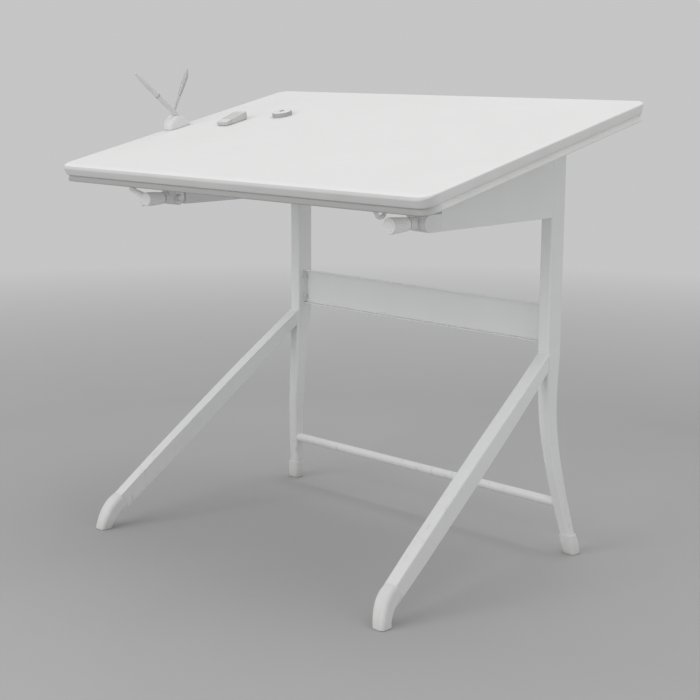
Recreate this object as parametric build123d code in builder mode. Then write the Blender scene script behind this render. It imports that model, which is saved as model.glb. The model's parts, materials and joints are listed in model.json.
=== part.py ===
from build123d import *
import os
from math import cos, radians, sin, tan

os.makedirs("parts", exist_ok=True)

# Drafting table. Millimetres, +Z up, the user stands at -Y.
# The origin is on the floor, under the middle of the table's footprint.
# Right means +X. "slope" is measured up the board from its front edge, "height" out of its top face.

# ---- drawing board ----
BOARD_WIDTH = 1200
BOARD_DEPTH = 785
BOARD_CORNER_R = 32
BOARD_TILT = 12.6  # degrees, rising towards the rear, at rest
BOARD_FRONT_Y = -386.4
BOARD_FRONT_Z = 912.0
PANEL_THICK = 27
PANEL_TOP_ROUND = 4
PANEL_TAPER = 15  # degrees, the panel's sides draw in towards its underside
PANEL_BOTTOM_ROUND = 6
RAIL_THICK = 15
RAIL_WIDTH = 78
RAIL_INSET = 4
RAIL_FRONT_INSET = 6
RAIL_TAPER = 22  # degrees, the rails' outer sides face a little upwards
BATTEN_WIDTH = 96
BATTEN_X = 404
BATTEN_START = 136
CENTRE_BATTEN_WIDTH = 70
EDGE_EASE = 2.5  # small round on the underframe's lower edges
SCREW_R = 2.0
SCREW_LENGTH = 30
SCREW_POINT = 4
SCREW_HEAD_R = 4.2
SCREW_HEAD_HEIGHT = 2.4
SCREW_SOCKET_R = 1.5
SCREW_SOCKET_DEPTH = 1.5
RAIL_SCREW_X = (-480, -160, 160, 480)
SIDE_SCREW_SLOPE = (205, 392, 580)
BATTEN_SCREW_SLOPE = (290, 450, 620)

# ---- side frames ----
SIDE_X = 420  # centre of each post and arm
SHEET = 2.0
POST_Y = 276.6
POST_WIDTH = 32.5
POST_DEPTH = 50
POST_ROUND = 5
POST_FOOT_Z = 500
SKY_Z = 1150  # above everything that gets cut back to the board's slope
ARM_BOTTOM_Z = 814
ARM_FRONT_Y = -141.4
STRIP_THICK = 4.0
STRIP_GAP = 0.3
STRIP_RIB = 5
STRIP_RIB_INSET = 10
STRIP_START_Y = -113.4

# ---- hinge at the front end of each arm ----
PIVOT_Y = -176.4
PIVOT_R = 8
LUG_R = 19
LUG_INNER_X = 419
LUG_PLUG_LENGTH = 50
PIN_FIT = 0.05
PIN_BORE_DEPTH = 14
PIN_CHAMFER = 1.2
SIDE_PLAY = 0.25
WASHER_THICK = 1.2
WASHER_R = 16
KNUCKLE_INNER_X = 390
KNUCKLE_R = 18.5
WEB_THICK = 12
WEB_FOOT = 32
WEB_HEAD = 86
FLANGE_WIDTH = 43
FLANGE_LENGTH = 96
FLANGE_THICK = 6
FLANGE_SCREW_PITCH = 32
FLANGE_SCREW_INSET = 14  # from the flange's inner edge
FLANGE_SCREW_R = 2.5
FLANGE_SCREW_LENGTH = 24
FLANGE_HEAD_R = 4.6
FLANGE_HEAD_HEIGHT = 3
RIB_THICK = 8
RIB_START = 4  # above the barrel
RIB_REACH = 8.6
NECK_R = 13.4
NECK_LENGTH = 38
CLAMP_SCREW_R = 5
SHOE_LENGTH = 8
SHOE_WRAP = 3
SCREW_GAP = 0.2  # between the shoe and the clamp screw's end
CLIP_THICK = 1.5
CLIP_R = 12
CLIP_GROOVE_R = 6.8
CLIP_MOUTH = 11
PIN_TAIL = 9
KNOB_LENGTH = 59
KNOB_REAR_R = 15.5
KNOB_FRONT_R = 18
KNOB_SCREW_DEPTH = 40
GRIP_GAP = 1
GRIP_REAR_ROUND = 6
GRIP_FRONT_ROUND = 2
LEVER_HUB_LENGTH = 54
LEVER_REACH = 75
LEVER_RISE = 20
LEVER_R = 6.5
LEVER_BACK = 19  # from the hub's front face to the handle's middle
LEVER_TAIL = 38
LEVER_TAIL_SLOPE = 23  # degrees down from level

# ---- legs ----
# Stations of the rear leg: height, outward place, rearward place, width, depth, corner radius.
REAR_LEG = (
    (POST_FOOT_Z, SIDE_X, POST_Y, POST_WIDTH, POST_DEPTH, POST_ROUND),
    (400, 423.6, 271.3, 31, 42, 6),
    (300, 430.5, 271.2, 30.5, 37, 7),
    (200, 444.5, 279.6, 30.5, 32, 7),
    (110, 459, 293.6, 30.5, 28, 7),
    (22, 475.5, 309, 30, 25, 7),
)
REAR_BOOT = (
    (48, 470.6, 304.4, 36, 31, 9),
    (24, 475.1, 308.6, 37, 33, 10),
    (0, 480, 312.6, 33, 30, 9),
)
FRONT_LEG_TOP = (425.3, 283.2, 499)
FRONT_LEG_LOW = (472.9, -366.7, 33)
# Stations of the front leg: distance down its axis, inward shift, width, depth.
FRONT_LEG = (
    (0, 4.8, 31, 30),
    (60, 2.0, 31, 32),
    (200, 0, 32, 38),
    (430, 0, 32.5, 43),
    (640, 0, 32, 42),
    (772, 0, 30, 36),
)
LEG_JOINT_GAP = 1  # the weld's width between the front leg and the post
# The front leg's corner radii: upper outer, lower outer, upper inner, lower inner.
FRONT_LEG_ROUNDS = (4, 5, 8, 19)
FRONT_BOOT = ((740, 0, 36, 43), (772, 0, 38, 44))
FRONT_BOOT_CORNER = 12
FRONT_SOLE = (481, -365.4, 33, 36, 10)
BOOT_ROUND = 3

# ---- cross members ----
RAIL_TOP_Z = 606.5
RAIL_BOTTOM_Z = 515.5
RAIL_FACE_Y = 280.6
RAIL_LIP = 13
RAIL_BEND_R = 4
RAIL_TAB = 16
BOLT_R = 4
BOLT_HEAD_R = 6.5
BOLT_HEAD_HEIGHT = 4
BOLT_PITCH = 52
BOLT_SHANK = 12
ROD_R = 11
ROD_Y = 288.6
ROD_Z = 126
ROD_HALF = 450

# ---- things on the board ----
SOCKET_X = -335
SOCKET_SLOPE = 527
SOCKET_FLANGE_R = 25.5
SOCKET_FLANGE_HEIGHT = 13
SOCKET_FLANGE_ROUND = 4
SOCKET_BARREL_R = 12
SOCKET_BORE_R = 6.5
SOCKET_BELOW = 18
NUT_WIDTH = 32
NUT_HEIGHT = 9
NUT_WASHER_THICK = 2
STAND_X = -577.5
STAND_SLOPE = 374
STAND_LENGTH = 74
STAND_WIDTH = 41
STAND_HEIGHT = 33
STAND_PAD = 1.5
# Stations of the stand: height, slope, length, width, corner radius.
STAND_STATIONS = (
    (STAND_PAD, STAND_SLOPE, STAND_LENGTH, STAND_WIDTH, 14),
    (10, 372, 68, 39.5, 13),
    (17, 369, 60, 38, 12),
    (27, 370, 38, 35, 10),
    (STAND_HEIGHT, 371, 20, 32, 8),
)
STAND_CREST_ROUND = 1.5
HOLDER_CLEARANCE = 0.3
# The pen leans to the front and the brush to the rear, from the places named here.
PEN_X = -569
PEN_SLOPE = 361.5
PEN_HEIGHT = 47.5
PEN_LEAN = 38.5  # degrees from square to the board
PEN_BELOW = 44  # from the named place down to the pen's lower end
PEN_R = 6.5
PEN_LENGTH = 198
PEN_TIP = 46
PEN_TIP_R = 3.0
BRUSH_X = -586
BRUSH_SLOPE = 383
BRUSH_HEIGHT = 44.5
BRUSH_LEAN = 37.5
BRUSH_BELOW = 38
BRUSH_R = 3.6
BRUSH_LENGTH = 155
# Stations of the brush: distance from its lower end, radius.
BRUSH_FERRULE = (84, 4.3)
BRUSH_WIDEST = (112, 6.2)
BRUSH_SHOULDER = (138, 6)
BRUSH_TIP = (BRUSH_LENGTH, 1.2)
HOOK_X = 386
HOOK_SLOPE = 109
HOOK_R = 4.5
HOOK_DROP = 54
HOOK_CURL_R = 14
HOOK_PLATE_WIDTH = 18
HOOK_PLATE_LENGTH = 44
HOOK_PLATE_THICK = 3
HOOK_SCREW_R = 1.75
HOOK_SCREW_LENGTH = 16
HOOK_SCREW_HEAD_R = 3.3
HOOK_SCREW_HEAD_HEIGHT = 2
HOOK_SCREW_REACH = 14.5
ERASER_X = -438.5
ERASER_START = 407
ERASER_LENGTH = 76
ERASER_WIDTH = 39
ERASER_FRONT_HEIGHT = 11
ERASER_REAR_HEIGHT = 22
ERASER_ROUND = 5
ERASER_EDGE_ROUND = 3
SLEEVE_WALL = 0.8
SLEEVE_START = 427
SLEEVE_LENGTH = 42

# ---- reference planes ----
tilt = radians(BOARD_TILT)
board_plane = Plane(
    origin=(0, BOARD_FRONT_Y, BOARD_FRONT_Z),
    x_dir=(1, 0, 0),
    z_dir=(0, -sin(tilt), cos(tilt)),
)
UNDERSIDE = PANEL_THICK + RAIL_THICK
PIVOT_Z = ARM_BOTTOM_Z + LUG_R
pivot_in_board = board_plane.to_local_coords(Vector(0, PIVOT_Y, PIVOT_Z))
PIVOT_SLOPE = pivot_in_board.Y


def save(builder, name):
    """Label a finished piece and write it as its own file."""
    builder.part.label = name
    export_step(builder.part, f"parts/{name}.step")


def save_pair(right, name):
    """Write a right-hand piece and its mirror image on the left."""
    save(right, f"right_{name}")
    with BuildPart() as left:
        mirror(right.part, about=Plane.YZ)
    save(left, f"left_{name}")


def on_board(points, height):
    """Locations square to the board, for points given as (x, slope)."""
    return [board_plane.location * Location((x, slope, height)) for x, slope in points]


# ---------------------------------------------------------------- screws under the board
rail_middle = RAIL_INSET + RAIL_WIDTH / 2
side_rail_x = BOARD_WIDTH / 2 - rail_middle
screw_points = []
for screw_x in RAIL_SCREW_X:
    screw_points.append((screw_x, rail_middle))
    screw_points.append((screw_x, BOARD_DEPTH - rail_middle))
for screw_slope in SIDE_SCREW_SLOPE:
    screw_points.append((-side_rail_x, screw_slope))
    screw_points.append((side_rail_x, screw_slope))
for screw_slope in BATTEN_SCREW_SLOPE:
    screw_points.append((-BATTEN_X, screw_slope))
    screw_points.append((0, screw_slope))
    screw_points.append((BATTEN_X, screw_slope))
flange_screw_x = KNUCKLE_INNER_X + WEB_THICK - FLANGE_WIDTH + FLANGE_SCREW_INSET
flange_screw_points = [
    (side * flange_screw_x, PIVOT_SLOPE + step * FLANGE_SCREW_PITCH)
    for side in (-1, 1)
    for step in (-1, 0, 1)
]
hook_screw_points = [(HOOK_X, HOOK_SLOPE + side * HOOK_SCREW_REACH) for side in (-1, 1)]
UP = (Align.CENTER, Align.CENTER, Align.MIN)
DOWN = (Align.CENTER, Align.CENTER, Align.MAX)
screw_shank = SCREW_LENGTH - SCREW_POINT

with BuildPart() as underframe_screws:
    with Locations(*on_board(screw_points, -UNDERSIDE)):
        Cylinder(SCREW_R, screw_shank, align=UP)
        Cone(SCREW_HEAD_R, SCREW_R, SCREW_HEAD_HEIGHT, align=UP)
    with Locations(*on_board(screw_points, -UNDERSIDE + screw_shank)):
        Cone(SCREW_R, SCREW_R / 8, SCREW_POINT, align=UP)
    with BuildSketch(board_plane.offset(-UNDERSIDE)):
        with Locations(*screw_points):
            RegularPolygon(SCREW_SOCKET_R, 6)
    extrude(amount=SCREW_SOCKET_DEPTH, mode=Mode.SUBTRACT)
save(underframe_screws, "underframe_screws")

flange_face = -UNDERSIDE - FLANGE_THICK
with BuildPart() as knuckle_screws:
    with Locations(*on_board(flange_screw_points, flange_face)):
        Cylinder(FLANGE_SCREW_R, FLANGE_SCREW_LENGTH, align=UP)
        Cylinder(FLANGE_HEAD_R, FLANGE_HEAD_HEIGHT, align=DOWN)
    head_rims = knuckle_screws.edges().group_by(Axis((0, 0, 0), board_plane.z_dir))[0]
    fillet(head_rims, FLANGE_HEAD_HEIGHT * 0.4)
    with BuildSketch(board_plane.offset(flange_face - FLANGE_HEAD_HEIGHT)):
        with Locations(*flange_screw_points):
            RegularPolygon(SCREW_SOCKET_R, 6)
    extrude(amount=SCREW_SOCKET_DEPTH, mode=Mode.SUBTRACT)
save(knuckle_screws, "knuckle_screws")

# ---------------------------------------------------------------- drawing board panel
board_axis = Axis((0, 0, 0), board_plane.z_dir)
# The round on the slanting top edge takes this much off each side of the sharp outline.
nose_loss = PANEL_TOP_ROUND * (1 / tan(radians((90 - PANEL_TAPER) / 2)) - 1)
with BuildPart() as drawing_board:
    with BuildSketch(board_plane):
        with Locations((0, BOARD_DEPTH / 2)):
            RectangleRounded(
                BOARD_WIDTH + 2 * nose_loss,
                BOARD_DEPTH + 2 * nose_loss,
                BOARD_CORNER_R + nose_loss,
            )
    extrude(amount=-PANEL_THICK, taper=PANEL_TAPER)
    fillet(drawing_board.faces().sort_by(board_axis)[-1].edges(), PANEL_TOP_ROUND)
    fillet(drawing_board.faces().sort_by(board_axis)[0].edges(), PANEL_BOTTOM_ROUND)
    with Locations(*on_board([(SOCKET_X, SOCKET_SLOPE)], 0)):
        Hole(SOCKET_BARREL_R)
    with Locations(*on_board(screw_points, -PANEL_THICK)):
        Cylinder(SCREW_R, SCREW_LENGTH - RAIL_THICK, align=UP, mode=Mode.SUBTRACT)
    with Locations(*on_board(flange_screw_points, -PANEL_THICK)):
        Cylinder(
            FLANGE_SCREW_R,
            FLANGE_SCREW_LENGTH - RAIL_THICK - FLANGE_THICK,
            align=UP,
            mode=Mode.SUBTRACT,
        )
    with Locations(*on_board(hook_screw_points, -PANEL_THICK)):
        Cylinder(HOOK_SCREW_R, HOOK_SCREW_LENGTH - HOOK_PLATE_THICK, align=UP, mode=Mode.SUBTRACT)
save(drawing_board, "drawing_board")

# ---------------------------------------------------------------- underframe
ring_width = BOARD_WIDTH - 2 * RAIL_INSET
ring_depth = BOARD_DEPTH - RAIL_INSET - RAIL_FRONT_INSET
ring_middle = (BOARD_DEPTH - RAIL_INSET + RAIL_FRONT_INSET) / 2
window_width = ring_width - 2 * RAIL_WIDTH
window_depth = BOARD_DEPTH - 2 * RAIL_INSET - 2 * RAIL_WIDTH

# The whole mitred ring first: each rail is the part of it inside its own wedge.
with BuildPart() as underframe_ring:
    with BuildSketch(board_plane.offset(-UNDERSIDE)):
        with Locations((0, ring_middle)):
            RectangleRounded(ring_width, ring_depth, BOARD_CORNER_R - RAIL_INSET)
    extrude(amount=RAIL_THICK, taper=RAIL_TAPER)
    fillet(underframe_ring.faces().sort_by(board_axis)[0].edges(), EDGE_EASE)
    with BuildSketch(board_plane.offset(-UNDERSIDE)):
        with Locations((0, BOARD_DEPTH / 2)):
            Rectangle(window_width, window_depth)
    extrude(amount=RAIL_THICK, mode=Mode.SUBTRACT)
    with Locations(*on_board(screw_points, -UNDERSIDE)):
        Cylinder(SCREW_R, RAIL_THICK, align=UP, mode=Mode.SUBTRACT)
        Cone(SCREW_HEAD_R, SCREW_R, SCREW_HEAD_HEIGHT, align=UP, mode=Mode.SUBTRACT)

half_width = BOARD_WIDTH / 2
reach = BOARD_DEPTH * 0.4  # the wedges run past the rails' inner edges
wedges = {
    "front": [
        (-half_width, 0),
        (half_width, 0),
        (half_width - reach, reach),
        (-half_width + reach, reach),
    ],
    "rear": [
        (-half_width, BOARD_DEPTH),
        (half_width, BOARD_DEPTH),
        (half_width - reach, BOARD_DEPTH - reach),
        (-half_width + reach, BOARD_DEPTH - reach),
    ],
    "right": [
        (half_width, 0),
        (half_width, BOARD_DEPTH),
        (half_width - reach, BOARD_DEPTH - reach),
        (half_width - reach, reach),
    ],
    "left": [
        (-half_width, 0),
        (-half_width, BOARD_DEPTH),
        (-half_width + reach, BOARD_DEPTH - reach),
        (-half_width + reach, reach),
    ],
}
for rail_name, wedge in wedges.items():
    with BuildPart() as rail:
        add(underframe_ring.part)
        with BuildSketch(board_plane.offset(-UNDERSIDE)):
            with BuildLine():
                Polyline(*wedge, close=True)
            make_face()
        extrude(amount=RAIL_THICK, mode=Mode.INTERSECT)
    save(rail, f"{rail_name}_rail")

window_start = RAIL_INSET + RAIL_WIDTH
window_end = BOARD_DEPTH - window_start
with BuildPart() as bracket_batten:
    with BuildSketch(board_plane.offset(-UNDERSIDE)):
        with Locations((BATTEN_X, (BATTEN_START + window_end) / 2)):
            Rectangle(BATTEN_WIDTH, window_end - BATTEN_START)
    extrude(amount=RAIL_THICK)
    front_end = bracket_batten.faces().sort_by(Axis((0, 0, 0), board_plane.y_dir))[0]
    chamfer(front_end.edges().filter_by(board_axis), RAIL_THICK / 2)
    with Locations(*on_board(screw_points, -UNDERSIDE)):
        Cylinder(SCREW_R, RAIL_THICK, align=UP, mode=Mode.SUBTRACT)
        Cone(SCREW_HEAD_R, SCREW_R, SCREW_HEAD_HEIGHT, align=UP, mode=Mode.SUBTRACT)
    with Locations(*on_board(flange_screw_points, -UNDERSIDE)):
        Cylinder(FLANGE_SCREW_R, RAIL_THICK, align=UP, mode=Mode.SUBTRACT)
save_pair(bracket_batten, "bracket_batten")

with BuildPart() as centre_batten:
    with BuildSketch(board_plane.offset(-UNDERSIDE)):
        with Locations((0, BOARD_DEPTH / 2)):
            Rectangle(CENTRE_BATTEN_WIDTH, window_depth)
    extrude(amount=RAIL_THICK)
    with Locations(*on_board(screw_points, -UNDERSIDE)):
        Cylinder(SCREW_R, RAIL_THICK, align=UP, mode=Mode.SUBTRACT)
        Cone(SCREW_HEAD_R, SCREW_R, SCREW_HEAD_HEIGHT, align=UP, mode=Mode.SUBTRACT)
save(centre_batten, "centre_batten")

# ---------------------------------------------------------------- posts
arm_gap = STRIP_THICK + STRIP_GAP
arm_top = board_plane.offset(-UNDERSIDE - arm_gap)
strip_top = board_plane.offset(-UNDERSIDE - STRIP_GAP)
post_tall = SKY_Z - POST_FOOT_Z
rail_bolt_z = [(RAIL_TOP_Z + RAIL_BOTTOM_Z + step * BOLT_PITCH) / 2 for step in (-1, 1)]
rail_bolt_y = RAIL_FACE_Y - RAIL_TAB / 2 - 1

with BuildPart() as post_form:
    with BuildSketch(Plane.XY.offset(POST_FOOT_Z)):
        with Locations((SIDE_X, POST_Y)):
            RectangleRounded(POST_WIDTH, POST_DEPTH, POST_ROUND)
    extrude(amount=post_tall)
    split(bisect_by=arm_top, keep=Keep.BOTTOM)

with BuildPart() as post:
    add(post_form.part)
    with BuildSketch(Plane.XY.offset(POST_FOOT_Z)):
        with Locations((SIDE_X, POST_Y)):
            RectangleRounded(POST_WIDTH - 2 * SHEET, POST_DEPTH - 2 * SHEET, POST_ROUND - SHEET)
    extrude(amount=post_tall, mode=Mode.SUBTRACT)
    with BuildSketch(Plane.YZ.offset(SIDE_X - POST_WIDTH)):
        with Locations(*[(rail_bolt_y, z) for z in rail_bolt_z]):
            Circle(BOLT_R)
    extrude(amount=POST_WIDTH, mode=Mode.SUBTRACT)
save_pair(post, "post")

# ---------------------------------------------------------------- arms
post_front_y = POST_Y - POST_DEPTH / 2
arm_inner_x = SIDE_X - POST_WIDTH / 2
lug_top_z = ARM_BOTTOM_Z + 2 * LUG_R

with BuildPart() as arm:
    with BuildSketch(Plane.YZ.offset(arm_inner_x)):
        with BuildLine():
            Polyline(
                (ARM_FRONT_Y, ARM_BOTTOM_Z),
                (post_front_y, ARM_BOTTOM_Z),
                (post_front_y, SKY_Z),
                (ARM_FRONT_Y, SKY_Z),
                close=True,
            )
        make_face()
    extrude(amount=POST_WIDTH)
    split(bisect_by=arm_top, keep=Keep.BOTTOM)
    with BuildSketch(Plane.YZ.offset(arm_inner_x + SHEET)):
        with BuildLine():
            Polyline(
                (ARM_FRONT_Y + SHEET, ARM_BOTTOM_Z + SHEET),
                (post_front_y, ARM_BOTTOM_Z + SHEET),
                (post_front_y, SKY_Z),
                (ARM_FRONT_Y + SHEET, SKY_Z),
                close=True,
            )
        make_face()
    extrude(amount=POST_WIDTH - 2 * SHEET, mode=Mode.SUBTRACT)
    # The lower part of the front wall is cut away for the pivot lug.
    with BuildSketch(Plane.YZ.offset(arm_inner_x + SHEET)):
        with Locations((ARM_FRONT_Y, ARM_BOTTOM_Z + SHEET)):
            Rectangle(
                3 * SHEET,
                lug_top_z - ARM_BOTTOM_Z - 2 * SHEET,
                align=(Align.CENTER, Align.MIN),
            )
    extrude(amount=POST_WIDTH - 2 * SHEET, mode=Mode.SUBTRACT)
save_pair(arm, "arm")

# The rubber strip lies along the arm's open top and plugs in between its walls.
rib_start = STRIP_START_Y + STRIP_RIB_INSET
rib_end = post_front_y - STRIP_RIB_INSET
arm_top_front_z = BOARD_FRONT_Z - (UNDERSIDE + arm_gap) / cos(tilt)
rib_top_start = arm_top_front_z + (rib_start - BOARD_FRONT_Y) * tan(tilt)
rib_top_end = arm_top_front_z + (rib_end - BOARD_FRONT_Y) * tan(tilt)
with BuildPart() as rest_strip:
    with BuildSketch(Plane.YZ.offset(arm_inner_x)):
        with BuildLine():
            Polyline(
                (STRIP_START_Y, ARM_BOTTOM_Z),
                (POST_Y + POST_DEPTH / 2, ARM_BOTTOM_Z),
                (POST_Y + POST_DEPTH / 2, SKY_Z),
                (STRIP_START_Y, SKY_Z),
                close=True,
            )
        make_face()
    extrude(amount=POST_WIDTH)
    split(bisect_by=strip_top, keep=Keep.BOTTOM)
    split(bisect_by=arm_top, keep=Keep.TOP)
    with BuildSketch(Plane.YZ.offset(arm_inner_x + SHEET)):
        with BuildLine():
            Polyline(
                (rib_start, rib_top_start),
                (rib_end, rib_top_end),
                (rib_end, rib_top_end - STRIP_RIB),
                (rib_start, rib_top_start - STRIP_RIB),
                close=True,
            )
        make_face()
    extrude(amount=POST_WIDTH - 2 * SHEET)
save_pair(rest_strip, "rest_strip")

# ---------------------------------------------------------------- pivot lugs
with BuildPart() as pivot_lug:
    # plug inside the arm
    with BuildSketch(Plane.YZ.offset(arm_inner_x + SHEET)):
        with Locations((ARM_FRONT_Y, ARM_BOTTOM_Z + SHEET)):
            Rectangle(
                LUG_PLUG_LENGTH,
                lug_top_z - ARM_BOTTOM_Z - 2 * SHEET,
                align=(Align.MIN, Align.MIN),
            )
    extrude(amount=POST_WIDTH - 2 * SHEET)
    # tongue with a round nose about the pivot
    with BuildSketch(Plane.YZ.offset(LUG_INNER_X)):
        with Locations((PIVOT_Y, PIVOT_Z)):
            Circle(LUG_R)
        with Locations((ARM_FRONT_Y, PIVOT_Z)):
            Rectangle(
                ARM_FRONT_Y - PIVOT_Y,
                2 * LUG_R,
                align=(Align.MAX, Align.CENTER),
            )
    extrude(amount=arm_inner_x + POST_WIDTH - LUG_INNER_X)
    # blind bore for the pin, open on the inner side
    with BuildSketch(Plane.YZ.offset(LUG_INNER_X)):
        with Locations((PIVOT_Y, PIVOT_Z)):
            Circle(PIVOT_R)
    extrude(amount=PIN_BORE_DEPTH, mode=Mode.SUBTRACT)
save_pair(pivot_lug, "pivot_lug")

# ---------------------------------------------------------------- pivot pins, washers and clips
pin_end_x = LUG_INNER_X + PIN_BORE_DEPTH
pin_start_x = KNUCKLE_INNER_X - PIN_TAIL
clip_x = KNUCKLE_INNER_X - CLIP_THICK - WASHER_THICK - SIDE_PLAY
knuckle_outer_x = LUG_INNER_X - WASHER_THICK - SIDE_PLAY

with BuildPart() as pivot_pin:
    with BuildSketch(Plane.YZ.offset(pin_start_x)):
        with Locations((PIVOT_Y, PIVOT_Z)):
            Circle(PIVOT_R)
    extrude(amount=pin_end_x - pin_start_x)
    chamfer(pivot_pin.edges().sort_by(Axis.X)[0], PIN_CHAMFER)
    with BuildSketch(Plane.YZ.offset(clip_x)):
        with Locations((PIVOT_Y, PIVOT_Z)):
            Circle(PIVOT_R)
            Circle(CLIP_GROOVE_R, mode=Mode.SUBTRACT)
    extrude(amount=CLIP_THICK, mode=Mode.SUBTRACT)
save_pair(pivot_pin, "pivot_pin")

with BuildPart() as pivot_washers:
    for washer_x in (LUG_INNER_X - WASHER_THICK, clip_x + CLIP_THICK):
        with BuildSketch(Plane.YZ.offset(washer_x)):
            with Locations((PIVOT_Y, PIVOT_Z)):
                Circle(WASHER_R)
                Circle(PIVOT_R + PIN_FIT, mode=Mode.SUBTRACT)
        extrude(amount=WASHER_THICK)
save_pair(pivot_washers, "pivot_washers")

with BuildPart() as pin_clip:
    with BuildSketch(Plane.YZ.offset(clip_x)):
        with Locations((PIVOT_Y, PIVOT_Z)):
            Circle(CLIP_R)
            Circle(CLIP_GROOVE_R, mode=Mode.SUBTRACT)
        with Locations((PIVOT_Y, PIVOT_Z - CLIP_R)):
            Rectangle(CLIP_MOUTH, CLIP_R, mode=Mode.SUBTRACT)
    extrude(amount=CLIP_THICK)
save_pair(pin_clip, "pin_clip")

# ---------------------------------------------------------------- hinge knuckles
neck_x = (KNUCKLE_INNER_X + knuckle_outer_x) / 2
neck_plane = Plane(origin=(neck_x, PIVOT_Y, PIVOT_Z), x_dir=(1, 0, 0), z_dir=(0, -1, 0))
web_head = [
    board_plane.from_local_coords(Vector(0, PIVOT_SLOPE + step * WEB_HEAD / 2, flange_face + 1))
    for step in (-1, 1)
]
rib_y = PIVOT_Y - RIB_THICK / 2
rib_top_z = web_head[0].Z + (PIVOT_Y - web_head[0].Y) * tan(tilt)

with BuildPart() as hinge_knuckle:
    # barrel round the pin
    with BuildSketch(Plane.YZ.offset(KNUCKLE_INNER_X)):
        with Locations((PIVOT_Y, PIVOT_Z)):
            Circle(KNUCKLE_R)
    extrude(amount=knuckle_outer_x - KNUCKLE_INNER_X)
    # web up to the flange
    with BuildSketch(Plane.YZ.offset(KNUCKLE_INNER_X)):
        with BuildLine():
            Polyline(
                (PIVOT_Y - WEB_FOOT / 2, PIVOT_Z),
                (PIVOT_Y + WEB_FOOT / 2, PIVOT_Z),
                (web_head[1].Y, web_head[1].Z),
                (web_head[0].Y, web_head[0].Z),
                close=True,
            )
        make_face()
    extrude(amount=WEB_THICK)
    # flange under the batten
    with BuildSketch(board_plane.offset(-UNDERSIDE)):
        with Locations((KNUCKLE_INNER_X + WEB_THICK, PIVOT_SLOPE)):
            Rectangle(FLANGE_WIDTH, FLANGE_LENGTH, align=(Align.MAX, Align.CENTER))
    extrude(amount=-FLANGE_THICK)
    # neck for the clamp screw
    with BuildSketch(neck_plane):
        Circle(NECK_R)
    extrude(amount=NECK_LENGTH)
    # rib on the web's inner side
    with BuildSketch(Plane(origin=(0, rib_y, 0), x_dir=(1, 0, 0), z_dir=(0, -1, 0))):
        with BuildLine():
            Polyline(
                (KNUCKLE_INNER_X, PIVOT_Z + KNUCKLE_R + RIB_START),
                (KNUCKLE_INNER_X, rib_top_z),
                (KNUCKLE_INNER_X - RIB_REACH, rib_top_z),
                close=True,
            )
        make_face()
    extrude(amount=-RIB_THICK)
    # bores for the pin and for the clamp screw
    with BuildSketch(Plane.YZ.offset(KNUCKLE_INNER_X - WEB_THICK)):
        with Locations((PIVOT_Y, PIVOT_Z)):
            Circle(PIVOT_R + PIN_FIT)
    extrude(amount=4 * WEB_THICK, mode=Mode.SUBTRACT)
    with BuildSketch(neck_plane):
        Circle(CLAMP_SCREW_R + PIN_FIT)
    extrude(amount=NECK_LENGTH, mode=Mode.SUBTRACT)
    with Locations(*on_board(flange_screw_points, -UNDERSIDE)):
        Cylinder(FLANGE_SCREW_R, FLANGE_THICK, align=DOWN, mode=Mode.SUBTRACT)
save_pair(hinge_knuckle, "hinge_knuckle")

# ---------------------------------------------------------------- friction shoes
shoe_start = PIVOT_R - SHOE_WRAP
shoe_end = PIVOT_R + SHOE_LENGTH
with BuildPart() as friction_shoe:
    with BuildSketch(neck_plane.offset(shoe_start)):
        Circle(CLAMP_SCREW_R)
    extrude(amount=shoe_end - shoe_start)
    with BuildSketch(Plane.YZ.offset(KNUCKLE_INNER_X)):
        with Locations((PIVOT_Y, PIVOT_Z)):
            Circle(PIVOT_R + 2 * PIN_FIT)
    extrude(amount=knuckle_outer_x - KNUCKLE_INNER_X, mode=Mode.SUBTRACT)
save_pair(friction_shoe, "friction_shoe")

# ---------------------------------------------------------------- clamp screws, knob and lever
grip_start = NECK_LENGTH + GRIP_GAP
screw_start = shoe_end + SCREW_GAP
with BuildPart() as clamp_screw:
    with BuildSketch(neck_plane.offset(screw_start)):
        Circle(CLAMP_SCREW_R)
    extrude(amount=grip_start + KNOB_SCREW_DEPTH - screw_start)
    chamfer(clamp_screw.edges().sort_by(Axis.Y)[-1], PIN_CHAMFER / 2)
save_pair(clamp_screw, "clamp_screw")

with BuildPart() as clamp_knob:
    with BuildSketch(neck_plane.offset(grip_start)):
        Circle(KNOB_REAR_R)
    with BuildSketch(neck_plane.offset(grip_start + KNOB_LENGTH)):
        Circle(KNOB_FRONT_R)
    loft()
    fillet(clamp_knob.edges().sort_by(Axis.Y)[0], GRIP_REAR_ROUND)
    fillet(clamp_knob.edges().sort_by(Axis.Y)[-1], GRIP_FRONT_ROUND)
    with BuildSketch(neck_plane.offset(grip_start)):
        Circle(CLAMP_SCREW_R)
    extrude(amount=KNOB_SCREW_DEPTH, mode=Mode.SUBTRACT)
save(clamp_knob, "right_clamp_knob")

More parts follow.
